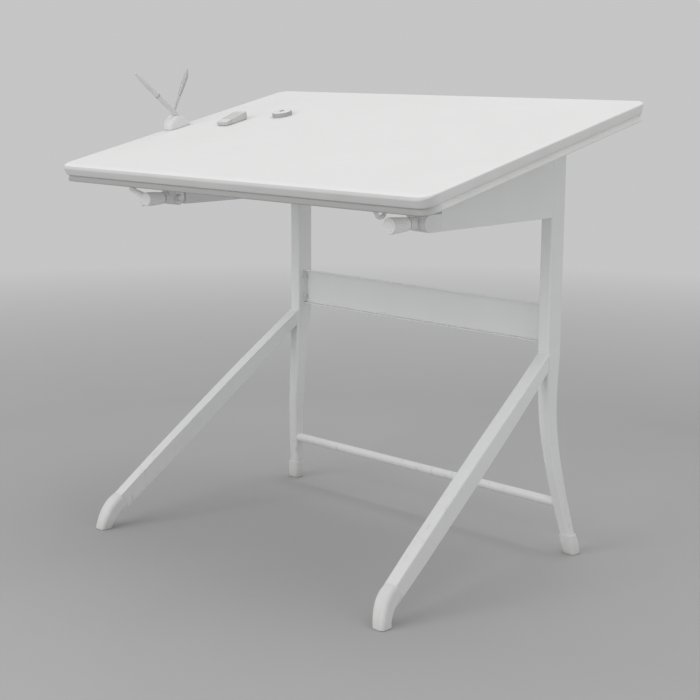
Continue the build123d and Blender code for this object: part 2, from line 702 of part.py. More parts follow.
left_neck_plane = Plane(origin=(-neck_x, PIVOT_Y, PIVOT_Z), x_dir=(1, 0, 0), z_dir=(0, -1, 0))
lever_plane = left_neck_plane.offset(grip_start + LEVER_HUB_LENGTH - LEVER_BACK)
tail_angle = radians(LEVER_TAIL_SLOPE)
tail_plane = Plane(
    origin=lever_plane.origin,
    x_dir=(0, 1, 0),
    z_dir=(-cos(tail_angle), 0, -sin(tail_angle)),
)
with BuildPart() as clamp_lever:
    with BuildSketch(left_neck_plane.offset(grip_start)):
        Circle(KNOB_REAR_R)
    with BuildSketch(left_neck_plane.offset(grip_start + LEVER_HUB_LENGTH)):
        Circle(KNOB_FRONT_R - 1)
    loft()
    fillet(clamp_lever.edges().sort_by(Axis.Y)[0], GRIP_REAR_ROUND - 1)
    fillet(clamp_lever.edges().sort_by(Axis.Y)[-1], GRIP_FRONT_ROUND)
    # curved handle, outwards and a little up
    with BuildLine(lever_plane):
        ThreePointArc(
            (0, 0),
            (-LEVER_REACH / 2, LEVER_RISE / 4),
            (-LEVER_REACH, LEVER_RISE),
        )
    with BuildSketch(Plane(origin=lever_plane.origin, x_dir=(0, 1, 0), z_dir=(-1, 0, 0))):
        Circle(LEVER_R)
    sweep()
    with Locations(lever_plane.location * Location((-LEVER_REACH, LEVER_RISE, 0))):
        Sphere(LEVER_R + 1)
    # short tail below the handle
    with BuildSketch(tail_plane):
        Circle(LEVER_R)
    extrude(amount=LEVER_TAIL)
    with BuildSketch(left_neck_plane.offset(grip_start)):
        Circle(CLAMP_SCREW_R)
    extrude(amount=KNOB_SCREW_DEPTH, mode=Mode.SUBTRACT)
save(clamp_lever, "left_clamp_lever")

# ---------------------------------------------------------------- rear legs
with BuildPart() as rear_leg_form:
    for z, x, y, width, depth, corner in REAR_LEG:
        with BuildSketch(Plane.XY.offset(z)):
            with Locations((x, y)):
                RectangleRounded(width, depth, corner)
    loft()

with BuildPart() as rear_leg_inside:
    for z, x, y, width, depth, corner in REAR_LEG:
        with BuildSketch(Plane.XY.offset(z)):
            with Locations((x, y)):
                RectangleRounded(width - 2 * SHEET, depth - 2 * SHEET, corner - SHEET)
    loft()

with BuildPart() as rear_leg:
    add(rear_leg_form.part)
    add(rear_leg_inside.part, mode=Mode.SUBTRACT)
save_pair(rear_leg, "rear_leg")

# ---------------------------------------------------------------- front legs
leg_top = Vector(*FRONT_LEG_TOP)
leg_direction = (Vector(*FRONT_LEG_LOW) - leg_top).normalized()


def leg_plane(distance, shift):
    """Plane square to the front leg's axis; its +X is outwards and its +Y is up and forwards."""
    origin = leg_top + leg_direction * distance - Vector(shift, 0, 0)
    return Plane(origin=origin, x_dir=(1, 0, 0), z_dir=leg_direction)


def front_leg_solid(inset):
    """Loft the front leg's outline through its stations; inset is measured inwards all round."""
    with BuildPart() as solid:
        for distance, shift, width, depth in FRONT_LEG:
            with BuildSketch(leg_plane(distance, shift)) as section:
                Rectangle(width - 2 * inset, depth - 2 * inset)
                corners = section.sketch_local.vertices().group_by(Axis.Y)
                lower_inner, lower_outer = corners[0].sort_by(Axis.X)
                upper_inner, upper_outer = corners[-1].sort_by(Axis.X)
                ordered = (upper_outer, lower_outer, upper_inner, lower_inner)
                for corner, radius in zip(ordered, FRONT_LEG_ROUNDS):
                    fillet(corner, radius - inset)
        loft()
    return solid.part


front_leg_form = front_leg_solid(0)
front_leg_inside = front_leg_solid(SHEET)
with BuildPart() as front_leg:
    add(front_leg_form)
    add(front_leg_inside, mode=Mode.SUBTRACT)
    split(bisect_by=Plane(origin=(0, post_front_y - LEG_JOINT_GAP, 0), z_dir=(0, -1, 0)))
save_pair(front_leg, "front_leg")

# ---------------------------------------------------------------- boots
with BuildPart() as front_boot:
    for distance, shift, width, depth in FRONT_BOOT:
        with BuildSketch(leg_plane(distance, shift)):
            RectangleRounded(width, depth, FRONT_BOOT_CORNER)
    sole_x, sole_y, sole_width, sole_depth, sole_corner = FRONT_SOLE
    with BuildSketch(Plane(origin=(sole_x, sole_y, 0), x_dir=(1, 0, 0), z_dir=(0, 0, -1))):
        RectangleRounded(sole_width, sole_depth, sole_corner)
    loft()
    fillet(front_boot.faces().sort_by(Axis.Z)[0].edges(), BOOT_ROUND)
    add(front_leg_form, mode=Mode.SUBTRACT)
save_pair(front_boot, "front_boot")

with BuildPart() as rear_boot:
    for z, x, y, width, depth, corner in REAR_BOOT:
        with BuildSketch(Plane.XY.offset(z)):
            with Locations((x, y)):
                RectangleRounded(width, depth, corner)
    loft()
    fillet(rear_boot.faces().sort_by(Axis.Z)[0].edges(), BOOT_ROUND)
    add(rear_leg_form.part, mode=Mode.SUBTRACT)
save_pair(rear_boot, "rear_boot")

# ---------------------------------------------------------------- cross rail
rail_start_y = RAIL_FACE_Y - RAIL_LIP
with BuildPart() as cross_rail:
    with BuildSketch(Plane.YZ.offset(-arm_inner_x)):
        with BuildLine():
            FilletPolyline(
                (rail_start_y, RAIL_TOP_Z),
                (RAIL_FACE_Y + SHEET, RAIL_TOP_Z),
                (RAIL_FACE_Y + SHEET, RAIL_BOTTOM_Z),
                (rail_start_y, RAIL_BOTTOM_Z),
                radius=RAIL_BEND_R,
            )
            FilletPolyline(
                (rail_start_y, RAIL_TOP_Z - SHEET),
                (RAIL_FACE_Y, RAIL_TOP_Z - SHEET),
                (RAIL_FACE_Y, RAIL_BOTTOM_Z + SHEET),
                (rail_start_y, RAIL_BOTTOM_Z + SHEET),
                radius=RAIL_BEND_R - SHEET,
            )
            Line((rail_start_y, RAIL_TOP_Z), (rail_start_y, RAIL_TOP_Z - SHEET))
            Line((rail_start_y, RAIL_BOTTOM_Z), (rail_start_y, RAIL_BOTTOM_Z + SHEET))
        make_face()
    extrude(amount=2 * arm_inner_x)
    # end tabs against the posts, folded forwards inside the channel
    for tab_x in (-arm_inner_x, arm_inner_x - SHEET):
        with BuildSketch(Plane.YZ.offset(tab_x)):
            with Locations((RAIL_FACE_Y, (RAIL_TOP_Z + RAIL_BOTTOM_Z) / 2)):
                Rectangle(
                    RAIL_TAB,
                    RAIL_TOP_Z - RAIL_BOTTOM_Z - 4 * SHEET,
                    align=(Align.MAX, Align.CENTER),
                )
        extrude(amount=SHEET)
    with BuildSketch(Plane.YZ.offset(-arm_inner_x)):
        with Locations(*[(rail_bolt_y, z) for z in rail_bolt_z]):
            Circle(BOLT_R)
    extrude(amount=2 * arm_inner_x, mode=Mode.SUBTRACT)
save(cross_rail, "cross_rail")

with BuildPart() as rail_bolts:
    for side in (-1, 1):
        head_x = side * (arm_inner_x - SHEET)
        for z in rail_bolt_z:
            with BuildSketch(Plane(origin=(head_x, rail_bolt_y, z), x_dir=(0, 1, 0), z_dir=(side, 0, 0))):
                Circle(BOLT_R)
            extrude(amount=BOLT_SHANK)
            with BuildSketch(Plane(origin=(head_x, rail_bolt_y, z), x_dir=(0, 1, 0), z_dir=(-side, 0, 0))):
                RegularPolygon(BOLT_HEAD_R, 6)
            extrude(amount=BOLT_HEAD_HEIGHT)
save(rail_bolts, "rail_bolts")

# ---------------------------------------------------------------- foot rod
with BuildPart() as foot_rod:
    with BuildSketch(Plane.YZ.offset(-ROD_HALF)):
        with Locations((ROD_Y, ROD_Z)):
            Circle(ROD_R)
            Circle(ROD_R - SHEET, mode=Mode.SUBTRACT)
    extrude(amount=2 * ROD_HALF)
    add(rear_leg_form.part, mode=Mode.SUBTRACT)
    add(mirror(rear_leg_form.part, about=Plane.YZ, mode=Mode.PRIVATE), mode=Mode.SUBTRACT)
save(foot_rod, "foot_rod")

# ---------------------------------------------------------------- lamp socket
socket_points = [(SOCKET_X, SOCKET_SLOPE)]
with BuildPart() as lamp_socket:
    with Locations(*on_board(socket_points, 0)):
        Cylinder(SOCKET_FLANGE_R, SOCKET_FLANGE_HEIGHT, align=UP)
    flange_rim = lamp_socket.faces().sort_by(board_axis)[-1].edges()
    fillet(flange_rim, SOCKET_FLANGE_ROUND)
    with Locations(*on_board(socket_points, 0)):
        Cylinder(SOCKET_BARREL_R, PANEL_THICK + SOCKET_BELOW, align=DOWN)
        Hole(SOCKET_BORE_R)
save(lamp_socket, "lamp_socket")

with BuildPart() as socket_washer:
    with Locations(*on_board(socket_points, -PANEL_THICK)):
        Cylinder(NUT_WIDTH / 2 + 1, NUT_WASHER_THICK, align=DOWN)
        Hole(SOCKET_BARREL_R)
save(socket_washer, "socket_washer")

with BuildPart() as socket_nut:
    with BuildSketch(board_plane.offset(-PANEL_THICK - NUT_WASHER_THICK)):
        with Locations(*socket_points):
            RegularPolygon(NUT_WIDTH / 2, 6, major_radius=False)
            Circle(SOCKET_BARREL_R, mode=Mode.SUBTRACT)
    extrude(amount=-NUT_HEIGHT)
save(socket_nut, "socket_nut")

# ---------------------------------------------------------------- tool hook under the front edge
hook_plane = Plane(
    origin=board_plane.from_local_coords(Vector(HOOK_X, HOOK_SLOPE, -PANEL_THICK - HOOK_PLATE_THICK)),
    x_dir=board_plane.y_dir,
    z_dir=(1, 0, 0),
)
hook_section = Plane(origin=hook_plane.origin, x_dir=(1, 0, 0), z_dir=board_plane.z_dir)
curl_start = HOOK_CURL_R - HOOK_DROP
with BuildPart() as tool_hook:
    with BuildSketch(board_plane.offset(-PANEL_THICK)):
        with Locations((HOOK_X, HOOK_SLOPE)):
            SlotOverall(HOOK_PLATE_LENGTH, HOOK_PLATE_WIDTH, rotation=90)
    extrude(amount=-HOOK_PLATE_THICK)
    with BuildLine(hook_plane):
        Line((0, 0), (0, curl_start))
        ThreePointArc((0, curl_start), (-HOOK_CURL_R, -HOOK_DROP), (-2 * HOOK_CURL_R, curl_start))
    with BuildSketch(hook_section):
        Circle(HOOK_R)
    sweep()
    with Locations(hook_plane.location * Location((-2 * HOOK_CURL_R, curl_start, 0))):
        Sphere(HOOK_R + 1)
    with Locations(*on_board(hook_screw_points, -PANEL_THICK)):
        Cylinder(HOOK_SCREW_R, HOOK_PLATE_THICK, align=DOWN, mode=Mode.SUBTRACT)
save(tool_hook, "tool_hook")

with BuildPart() as hook_screws:
    with Locations(*on_board(hook_screw_points, -PANEL_THICK - HOOK_PLATE_THICK)):
        Cylinder(HOOK_SCREW_R, HOOK_SCREW_LENGTH, align=UP)
        Cylinder(HOOK_SCREW_HEAD_R, HOOK_SCREW_HEAD_HEIGHT, align=DOWN)
save(hook_screws, "hook_screws")

# ---------------------------------------------------------------- pen stand
def leaning_plane(place, lean_angle):
    """Plane square to a leaning tool, at a place on the board; a positive angle leans to the rear."""
    lean = radians(lean_angle)
    local = Vector(0, sin(lean), cos(lean))
    direction = board_plane.from_local_coords(local) - board_plane.origin
    origin = board_plane.from_local_coords(Vector(*place))
    return Plane(origin=origin, x_dir=(1, 0, 0), z_dir=direction)


pen_plane = leaning_plane((PEN_X, PEN_SLOPE, PEN_HEIGHT), -PEN_LEAN)
brush_plane = leaning_plane((BRUSH_X, BRUSH_SLOPE, BRUSH_HEIGHT), BRUSH_LEAN)

with BuildPart() as pen_stand:
    for height, slope, length, width, corner in STAND_STATIONS:
        with BuildSketch(board_plane.offset(height)):
            with Locations((STAND_X, slope)):
                RectangleRounded(width, length, corner)
    loft(ruled=True)
    fillet(pen_stand.faces().sort_by(board_axis)[-1].edges(), STAND_CREST_ROUND)
    with BuildSketch(pen_plane.offset(-PEN_BELOW)):
        Circle(PEN_R + HOLDER_CLEARANCE)
    extrude(amount=2 * PEN_BELOW, mode=Mode.SUBTRACT)
    with BuildSketch(brush_plane.offset(-BRUSH_BELOW)):
        Circle(BRUSH_R + HOLDER_CLEARANCE)
    extrude(amount=2 * BRUSH_BELOW, mode=Mode.SUBTRACT)
save(pen_stand, "pen_stand")

with BuildPart() as stand_pad:
    with BuildSketch(board_plane):
        with Locations((STAND_X, STAND_SLOPE)):
            RectangleRounded(STAND_WIDTH - 1, STAND_LENGTH - 1, 13)
    extrude(amount=STAND_PAD)
save(stand_pad, "stand_pad")

# ---------------------------------------------------------------- pen and brush
with BuildPart() as drawing_pen:
    with BuildSketch(pen_plane.offset(-PEN_BELOW)):
        Circle(PEN_R)
    extrude(amount=PEN_LENGTH - PEN_TIP)
    with BuildSketch(pen_plane.offset(PEN_LENGTH - PEN_TIP - PEN_BELOW)):
        Circle(PEN_R)
    with BuildSketch(pen_plane.offset(PEN_LENGTH - PEN_BELOW)):
        Circle(PEN_TIP_R)
    loft()
    chamfer(drawing_pen.edges().sort_by(Axis(pen_plane.origin, pen_plane.z_dir))[0], PEN_R / 6)
save(drawing_pen, "drawing_pen")

with BuildPart() as paint_brush:
    with BuildSketch(brush_plane.offset(-BRUSH_BELOW)):
        Circle(BRUSH_R)
    extrude(amount=BRUSH_FERRULE[0] / 2)
    with BuildSketch(brush_plane.offset(BRUSH_FERRULE[0] / 2 - BRUSH_BELOW)):
        Circle(BRUSH_R)
    for station, radius in (BRUSH_FERRULE, BRUSH_WIDEST, BRUSH_SHOULDER, BRUSH_TIP):
        with BuildSketch(brush_plane.offset(station - BRUSH_BELOW)):
            Circle(radius)
    loft(ruled=True)
save(paint_brush, "paint_brush")

# ---------------------------------------------------------------- eraser
eraser_side = Plane(
    origin=board_plane.from_local_coords(Vector(ERASER_X, 0, 0)),
    x_dir=board_plane.y_dir,
    z_dir=(1, 0, 0),
)
eraser_end = ERASER_START + ERASER_LENGTH
sleeve_end = SLEEVE_START + SLEEVE_LENGTH
eraser_rise = (ERASER_REAR_HEIGHT - ERASER_FRONT_HEIGHT) / ERASER_LENGTH


def eraser_top(slope):
    """Height of the wedge-shaped eraser's top at a place along the slope."""
    return ERASER_FRONT_HEIGHT + (slope - ERASER_START) * eraser_rise


with BuildPart() as eraser_block:
    with BuildSketch(eraser_side):
        with BuildLine():
            Polyline(
                (ERASER_START, SLEEVE_WALL),
                (eraser_end, SLEEVE_WALL),
                (eraser_end, eraser_top(eraser_end)),
                (ERASER_START, eraser_top(ERASER_START)),
                close=True,
            )
        make_face()
    extrude(amount=ERASER_WIDTH / 2, both=True)
    fillet(eraser_block.edges().filter_by(board_axis), ERASER_ROUND)
    fillet(eraser_block.edges().filter_by(board_axis, reverse=True), ERASER_EDGE_ROUND)
save(eraser_block, "eraser_block")

with BuildPart() as eraser_sleeve:
    with BuildSketch(eraser_side):
        with BuildLine():
            Polyline(
                (SLEEVE_START, 0),
                (sleeve_end, 0),
                (sleeve_end, eraser_top(sleeve_end) + SLEEVE_WALL),
                (SLEEVE_START, eraser_top(SLEEVE_START) + SLEEVE_WALL),
                close=True,
            )
        make_face()
    extrude(amount=ERASER_WIDTH / 2 + SLEEVE_WALL, both=True)
    lengthwise = eraser_sleeve.edges().filter_by(Axis.X, reverse=True)
    fillet(lengthwise.filter_by(board_axis, reverse=True), ERASER_EDGE_ROUND + SLEEVE_WALL)
    add(eraser_block.part, mode=Mode.SUBTRACT)
save(eraser_sleeve, "eraser_sleeve")
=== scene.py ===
"""Looks of the drafting table: finishes, small detailed pieces, studio and camera. Metres, +Z up."""

import json
import math
import random

import bmesh
import bpy
from mathutils import Matrix, Vector
from mathutils.bvhtree import BVHTree


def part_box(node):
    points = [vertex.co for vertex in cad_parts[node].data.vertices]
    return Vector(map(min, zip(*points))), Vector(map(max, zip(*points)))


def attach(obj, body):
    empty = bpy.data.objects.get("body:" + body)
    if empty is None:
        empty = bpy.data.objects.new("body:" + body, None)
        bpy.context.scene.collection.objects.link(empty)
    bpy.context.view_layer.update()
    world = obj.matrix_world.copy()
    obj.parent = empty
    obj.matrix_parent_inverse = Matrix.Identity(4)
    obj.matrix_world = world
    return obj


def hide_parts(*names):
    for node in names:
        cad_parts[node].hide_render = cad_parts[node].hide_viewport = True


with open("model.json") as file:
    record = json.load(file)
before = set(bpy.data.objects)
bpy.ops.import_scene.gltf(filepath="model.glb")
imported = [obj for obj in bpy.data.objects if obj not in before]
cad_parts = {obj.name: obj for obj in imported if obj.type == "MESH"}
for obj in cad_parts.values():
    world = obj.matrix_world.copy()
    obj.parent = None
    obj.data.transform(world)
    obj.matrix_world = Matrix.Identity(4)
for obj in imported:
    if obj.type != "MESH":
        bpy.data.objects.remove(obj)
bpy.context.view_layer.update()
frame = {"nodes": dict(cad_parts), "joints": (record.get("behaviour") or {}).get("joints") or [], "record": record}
nodes = frame["nodes"]
joints = {joint["name"]: joint for joint in frame["joints"]}

SIDES = ("right", "left")
X_AXIS = Vector((1, 0, 0))
FORWARD = Vector((0, -1, 0))
BOARD_NORMAL = Vector(joints["eraser_lift"]["axis"]).normalized()
UP_SLOPE = BOARD_NORMAL.cross(X_AXIS)
BACKDROP = (0.56, 0.56, 0.562)
PEN_BARREL_SHARE = 0.56
random.seed(11)


def extent(node_name, direction):
    """Least and greatest distance of a CAD node's vertices along a direction."""
    values = [vertex.co.dot(direction) for vertex in nodes[node_name].data.vertices]
    return min(values), max(values)


def board_point(x, slope, height):
    """A point on the board: slope and height are distances along its two unit vectors."""
    return X_AXIS * x + UP_SLOPE * slope + BOARD_NORMAL * height


# ---------------------------------------------------------------- shader helpers
class Shader:
    """One node material with a Principled shader, and short calls for the usual pieces of one."""

    def __init__(self, name, metallic=0.0, specular=0.5):
        self.material = bpy.data.materials.new(name)
        self.material.use_nodes = True
        self.tree = self.material.node_tree
        self.principled = self.tree.nodes["Principled BSDF"]
        self.principled.inputs["Metallic"].default_value = metallic
        self.principled.inputs["Specular IOR Level"].default_value = specular
        self.place = self.new("ShaderNodeTexCoord").outputs["Object"]

    def new(self, kind, **settings):
        node = self.tree.nodes.new(kind)
        for key, value in settings.items():
            setattr(node, key, value)
        return node

    def link(self, source, target):
        self.tree.links.new(source, target)

    def stretched(self, scale, rotation=(0, 0, 0)):
        """Object coordinates, turned and scaled, so that grain and brush marks run one way."""
        mapping = self.new("ShaderNodeMapping")
        mapping.inputs["Scale"].default_value = scale
        mapping.inputs["Rotation"].default_value = rotation
        self.link(self.place, mapping.inputs["Vector"])
        return mapping.outputs["Vector"]

    def noise(self, scale, detail=2.0, roughness=0.5, vector=None):
        node = self.new("ShaderNodeTexNoise")
        node.inputs["Scale"].default_value = scale
        node.inputs["Detail"].default_value = detail
        node.inputs["Roughness"].default_value = roughness
        self.link(vector or self.place, node.inputs["Vector"])
        return node.outputs["Fac"]

    def cells(self, scale, vector=None):
        node = self.new("ShaderNodeTexVoronoi")
        node.inputs["Scale"].default_value = scale
        self.link(vector or self.place, node.inputs["Vector"])
        return node.outputs["Distance"]

    def spread(self, value, low, high, to_low=0.0, to_high=1.0):
        """Map a value from one range to another, clamped."""
        node = self.new("ShaderNodeMapRange")
        for key, number in (
            ("From Min", low),
            ("From Max", high),
            ("To Min", to_low),
            ("To Max", to_high),
        ):
            node.inputs[key].default_value = number
        self.link(value, node.inputs["Value"])
        return node.outputs["Result"]

    def maths(self, operation, a, b):
        node = self.new("ShaderNodeMath", operation=operation)
        for socket, value in zip(node.inputs, (a, b)):
            if isinstance(value, (int, float)):
                socket.default_value = value
            else:
                self.link(value, socket)
        return node.outputs["Value"]

    def height_above_floor(self, low, high):
        """1 at and below low, 0 at and above high, in metres."""
        split = self.new("ShaderNodeSeparateXYZ")
        self.link(self.place, split.inputs["Vector"])
        return self.spread(split.outputs["Z"], low, high, 1.0, 0.0)

    def nearness_to_front_edge(self, width):
        """1 at the board's front edge, falling to 0 at width behind it, in metres."""
        front = extent("drawing_board", UP_SLOPE)[0]
        along = self.new("ShaderNodeVectorMath", operation="DOT_PRODUCT")
        self.link(self.place, along.inputs[0])
        along.inputs[1].default_value = UP_SLOPE
        return self.spread(along.outputs["Value"], front, front + width, 1.0, 0.0)

    def distance_from_middle(self, low, high):
        """0 nearer to the table than low and 1 beyond high, in metres."""
        node = self.new("ShaderNodeVectorMath", operation="LENGTH")
        self.link(self.place, node.inputs[0])
        return self.spread(node.outputs["Value"], low, high)

    def colour(self, base, layers):
        """Lay (factor, colour) layers over the base colour and plug the result in."""
        current = None
        for factor, colour in layers:
            mix = self.new("ShaderNodeMix", data_type="RGBA")
            if current is None:
                mix.inputs["A"].default_value = (*base, 1)
            else:
                self.link(current, mix.inputs["A"])
            mix.inputs["B"].default_value = (*colour, 1)
            self.link(factor, mix.inputs["Factor"])
            current = mix.outputs["Result"]
        self.link(current, self.principled.inputs["Base Color"])
        self.material.diffuse_color = (*base, 1)

    def roughness(self, value, low, high):
        self.link(self.spread(value, 0.3, 0.7, low, high), self.principled.inputs["Roughness"])

    def bump(self, layers):
        """Stack (height, distance in metres, strength) bumps."""
        normal = None
        for height, distance, strength in layers:
            node = self.new("ShaderNodeBump")
            node.inputs["Distance"].default_value = distance
            node.inputs["Strength"].default_value = strength
            self.link(height, node.inputs["Height"])
            if normal is not None:
                self.link(normal, node.inputs["Normal"])
            normal = node.outputs["Normal"]
        self.link(normal, self.principled.inputs["Normal"])


def tinted(colour, factor):
    return tuple(channel * factor for channel in colour)


# ---------------------------------------------------------------- finishes
def laminate():
    """Pale drawing-board laminate: fine stipple, faint clouding and a trace of graphite."""
    shader = Shader("board_laminate", specular=0.4)
    base = (0.79, 0.79, 0.785)
    clouds = shader.spread(shader.noise(5, 3), 0.35, 0.7)
    rubbed = shader.noise(14, 5, 0.65, shader.stretched((1, 3.5, 1), (0, 0, 0.35)))
    graphite = shader.spread(rubbed, 0.56, 0.78, 0.0, 0.35)
    speck = shader.spread(shader.noise(900, 2), 0.62, 0.72, 0.0, 0.25)
    shader.colour(
        base,
        [
            (shader.maths("MULTIPLY", clouds, 0.5), tinted(base, 0.965)),
            (graphite, (0.72, 0.72, 0.725)),
            (speck, tinted(base, 0.90)),
        ],
    )
    shader.roughness(shader.noise(60, 4), 0.46, 0.60)
    shader.bump([(shader.noise(1500, 2), 0.00006, 0.55), (shader.noise(220, 3), 0.00008, 0.35)])
    return shader.material


def edge_band():
    """Edge strip of the drawing board, darkened towards the front edge with painted shade, with fine lengthwise
    scuffs.
    """
    shader = Shader("board_edge_band", specular=0.4)
    base = (0.76, 0.76, 0.755)
    scuffs = shader.noise(60, 5, 0.65, shader.stretched((0.25, 0.25, 3)))
    shader.colour(
        base,
        [
            # Painted shade: the strip is darker within 50 mm of the board's front edge.
            (shader.nearness_to_front_edge(0.05), tinted(base, 0.76)),
            (shader.spread(shader.noise(11, 3), 0.4, 0.7, 0.0, 0.08), tinted(base, 0.40)),
            (shader.spread(scuffs, 0.60, 0.74, 0.0, 0.12), tinted(base, 0.30)),
        ],
    )
    shader.roughness(scuffs, 0.42, 0.58)
    shader.bump([(shader.noise(1300, 2), 0.00005, 0.5)])
    return shader.material


def painted_wood(name, grain_scale, base=(0.79, 0.79, 0.78)):
    """Solid wood under satin paint, with the grain just telegraphing through, and painted shade darkening it near
    the board's front edge.
    """
    shader = Shader(name, specular=0.45)
    grain = shader.noise(1, 6, 0.6, shader.stretched(grain_scale))
    clouds = shader.noise(9, 3)
    shader.colour(
        base,
        [
            # Painted shade: darker within 60 mm of the board's front edge, where the board shades the rails.
            (shader.nearness_to_front_edge(0.06), tinted(base, 0.41)),
            (shader.spread(grain, 0.45, 0.75, 0.0, 0.12), tinted(base, 0.45)),
            (shader.spread(clouds, 0.4, 0.7, 0.0, 0.08), tinted(base, 0.50)),
        ],
    )
    shader.roughness(grain, 0.42, 0.56)
    shader.bump([(grain, 0.0004, 0.45), (shader.noise(1200, 2), 0.00004, 0.4)])
    return shader.material


def powder_coat(name, base=(0.80, 0.805, 0.805)):
    """Light powder coat: orange peel, a little clouding, dust and scuffs near the floor."""
    shader = Shader(name, specular=0.5)
    clouds = shader.noise(7, 3)
    scuffs = shader.spread(shader.noise(45, 6, 0.7, shader.stretched((1, 1, 0.35))), 0.58, 0.66)
    low_down = shader.height_above_floor(0.05, 0.32)
    worn_low = shader.maths("MULTIPLY", low_down, 0.7)
    fine_specks = shader.spread(shader.noise(700, 1), 0.66, 0.72, 0.0, 0.5)
    shader.colour(
        base,
        [
            (shader.spread(clouds, 0.4, 0.7, 0.0, 0.6), tinted(base, 0.97)),
            (fine_specks, tinted(base, 1.05)),
            (shader.maths("MULTIPLY", low_down, 0.22), (0.66, 0.655, 0.64)),
            (shader.maths("MULTIPLY", scuffs, worn_low), (0.58, 0.58, 0.575)),
        ],
    )
    shader.roughness(shader.noise(30, 4), 0.34, 0.50)
    shader.bump([(shader.noise(420, 2), 0.00022, 0.35), (shader.noise(1700, 1), 0.00004, 0.4)])
    return shader.material


def cast_enamel():
    """Sand-cast metal under enamel: the casting skin still shows."""
    shader = Shader("cast_paint", specular=0.5)
    base = (0.78, 0.785, 0.785)
    skin = shader.noise(260, 5, 0.6)
    shader.colour(
        base,
        [
            (shader.spread(skin, 0.45, 0.7, 0.0, 0.6), tinted(base, 0.93)),
            (shader.spread(shader.noise(18, 3), 0.5, 0.75, 0.0, 0.5), tinted(base, 0.96)),
        ],
    )
    shader.roughness(skin, 0.44, 0.60)
    shader.bump([(skin, 0.0007, 0.5), (shader.noise(900, 2), 0.0001, 0.4)])
    return shader.material


def plated_steel(name, base=(0.78, 0.78, 0.785), stretch=(12, 900, 900)):
    """Zinc-plated steel with turning marks and dull patches."""
    shader = Shader(name, metallic=1.0)
    marks = shader.noise(1, 3, 0.5, shader.stretched(stretch))
    patches = shader.noise(90, 4)
    shader.colour(
        base,
        [
            (shader.spread(patches, 0.45, 0.7, 0.0, 0.6), tinted(base, 0.82)),
            (shader.spread(marks, 0.4, 0.7, 0.0, 0.4), tinted(base, 1.12)),
        ],
    )
    shader.roughness(patches, 0.38, 0.56)
    shader.bump([(marks, 0.00006, 0.4)])
    return shader.material


def brass():
    """Machined brass, slightly tarnished."""
    shader = Shader("shoe_brass", metallic=1.0)
    base = (0.66, 0.50, 0.24)
    tarnish = shader.noise(240, 4)
    shader.colour(base, [(shader.spread(tarnish, 0.45, 0.7), tinted(base, 0.75))])
    shader.roughness(tarnish, 0.26, 0.42)
    shader.bump([(shader.noise(1500, 2), 0.00003, 0.4)])
    return shader.material


def rubber(name, base, floor_dust=True):
    """Moulded rubber: pebbled skin, bloom in clouds, dust where it meets the floor."""
    shader = Shader(name, specular=0.25)
    pebble = shader.cells(1100)
    bloom = shader.noise(35, 4)
    layers = [
        (shader.spread(bloom, 0.4, 0.7, 0.0, 0.7), tinted(base, 0.95)),
        (shader.spread(pebble, 0.1, 0.5, 0.3, 0.0), tinted(base, 0.90)),
    ]
    if floor_dust:
        dust = shader.maths("MULTIPLY", shader.height_above_floor(0.003, 0.03), 0.45)
        layers.append((dust, (0.60, 0.585, 0.56)))
    shader.colour(base, layers)
    shader.roughness(bloom, 0.66, 0.82)
    shader.bump([(pebble, 0.00012, 0.5), (shader.noise(300, 3), 0.0002, 0.3)])
    return shader.material


def moulded_plastic(name, base, rough=(0.38, 0.52), grain=1600, depth=0.00005):
    """Injection-moulded plastic: spark-eroded texture, faint flow marks, handling polish."""
    shader = Shader(name, specular=0.5)
    flow = shader.noise(22, 4, 0.6, shader.stretched((1, 0.5, 1)))
    handled = shader.noise(55, 3)
    shader.colour(
        base,
        [
            (shader.spread(flow, 0.4, 0.72, 0.0, 0.7), tinted(base, 0.955)),
            (shader.spread(handled, 0.55, 0.75, 0.0, 0.4), tinted(base, 0.93)),
        ],
    )
    shader.roughness(handled, *rough)
    shader.bump([(shader.noise(grain, 2), depth, 0.5)])
    return shader.material


def vinyl(name, base):
    """Used vinyl eraser: chalky skin, small nicks and graphite smears."""
    shader = Shader(name, specular=0.3)
    smear = shader.noise(70, 5, 0.65, shader.stretched((1, 0.3, 1)))
    nicks = shader.noise(420, 4)
    shader.colour(
        base,
        [
            (shader.spread(smear, 0.55, 0.74, 0.0, 0.6), tinted(base, 0.80)),
            (shader.spread(nicks, 0.55, 0.75, 0.0, 0.5), tinted(base, 0.93)),
        ],
    )
    shader.roughness(smear, 0.62, 0.78)
    shader.bump([(nicks, 0.0003, 0.5)])
    return shader.material


def card():
    """Coated card sleeve: paper fibre and a slight emboss."""
    shader = Shader("sleeve_card", specular=0.4)
    base = (0.58, 0.58, 0.575)
    fibre = shader.noise(900, 4, 0.6, shader.stretched((1, 0.4, 1)))
    shader.colour(base, [(shader.spread(fibre, 0.45, 0.7, 0.0, 0.6), tinted(base, 0.94))])
    shader.roughness(fibre, 0.44, 0.58)
    shader.bump([(fibre, 0.00005, 0.5)])
    return shader.material


def knurled():
    """Fine straight knurl on the lamp socket's rim; its dark base colour is painted shade for the socket's side
    faces.
    """
    shader = Shader("socket_knurl_painted_shade", specular=0.5)
    # Painted shade: this dark base stands in for the shade on the socket's side faces.
    base = (0.42, 0.425, 0.425)
    ridges = shader.noise(1, 1, 0.5, shader.stretched((900, 900, 30)))
    worn = shader.noise(160, 3)
    shader.colour(
        base,
        [
            (shader.spread(ridges, 0.40, 0.62, 0.0, 0.8), tinted(base, 0.84)),
            (shader.spread(worn, 0.5, 0.75, 0.0, 0.5), tinted(base, 1.10)),
        ],
    )
    shader.roughness(ridges, 0.40, 0.56)
    shader.bump([(ridges, 0.0003, 0.6)])
    return shader.material


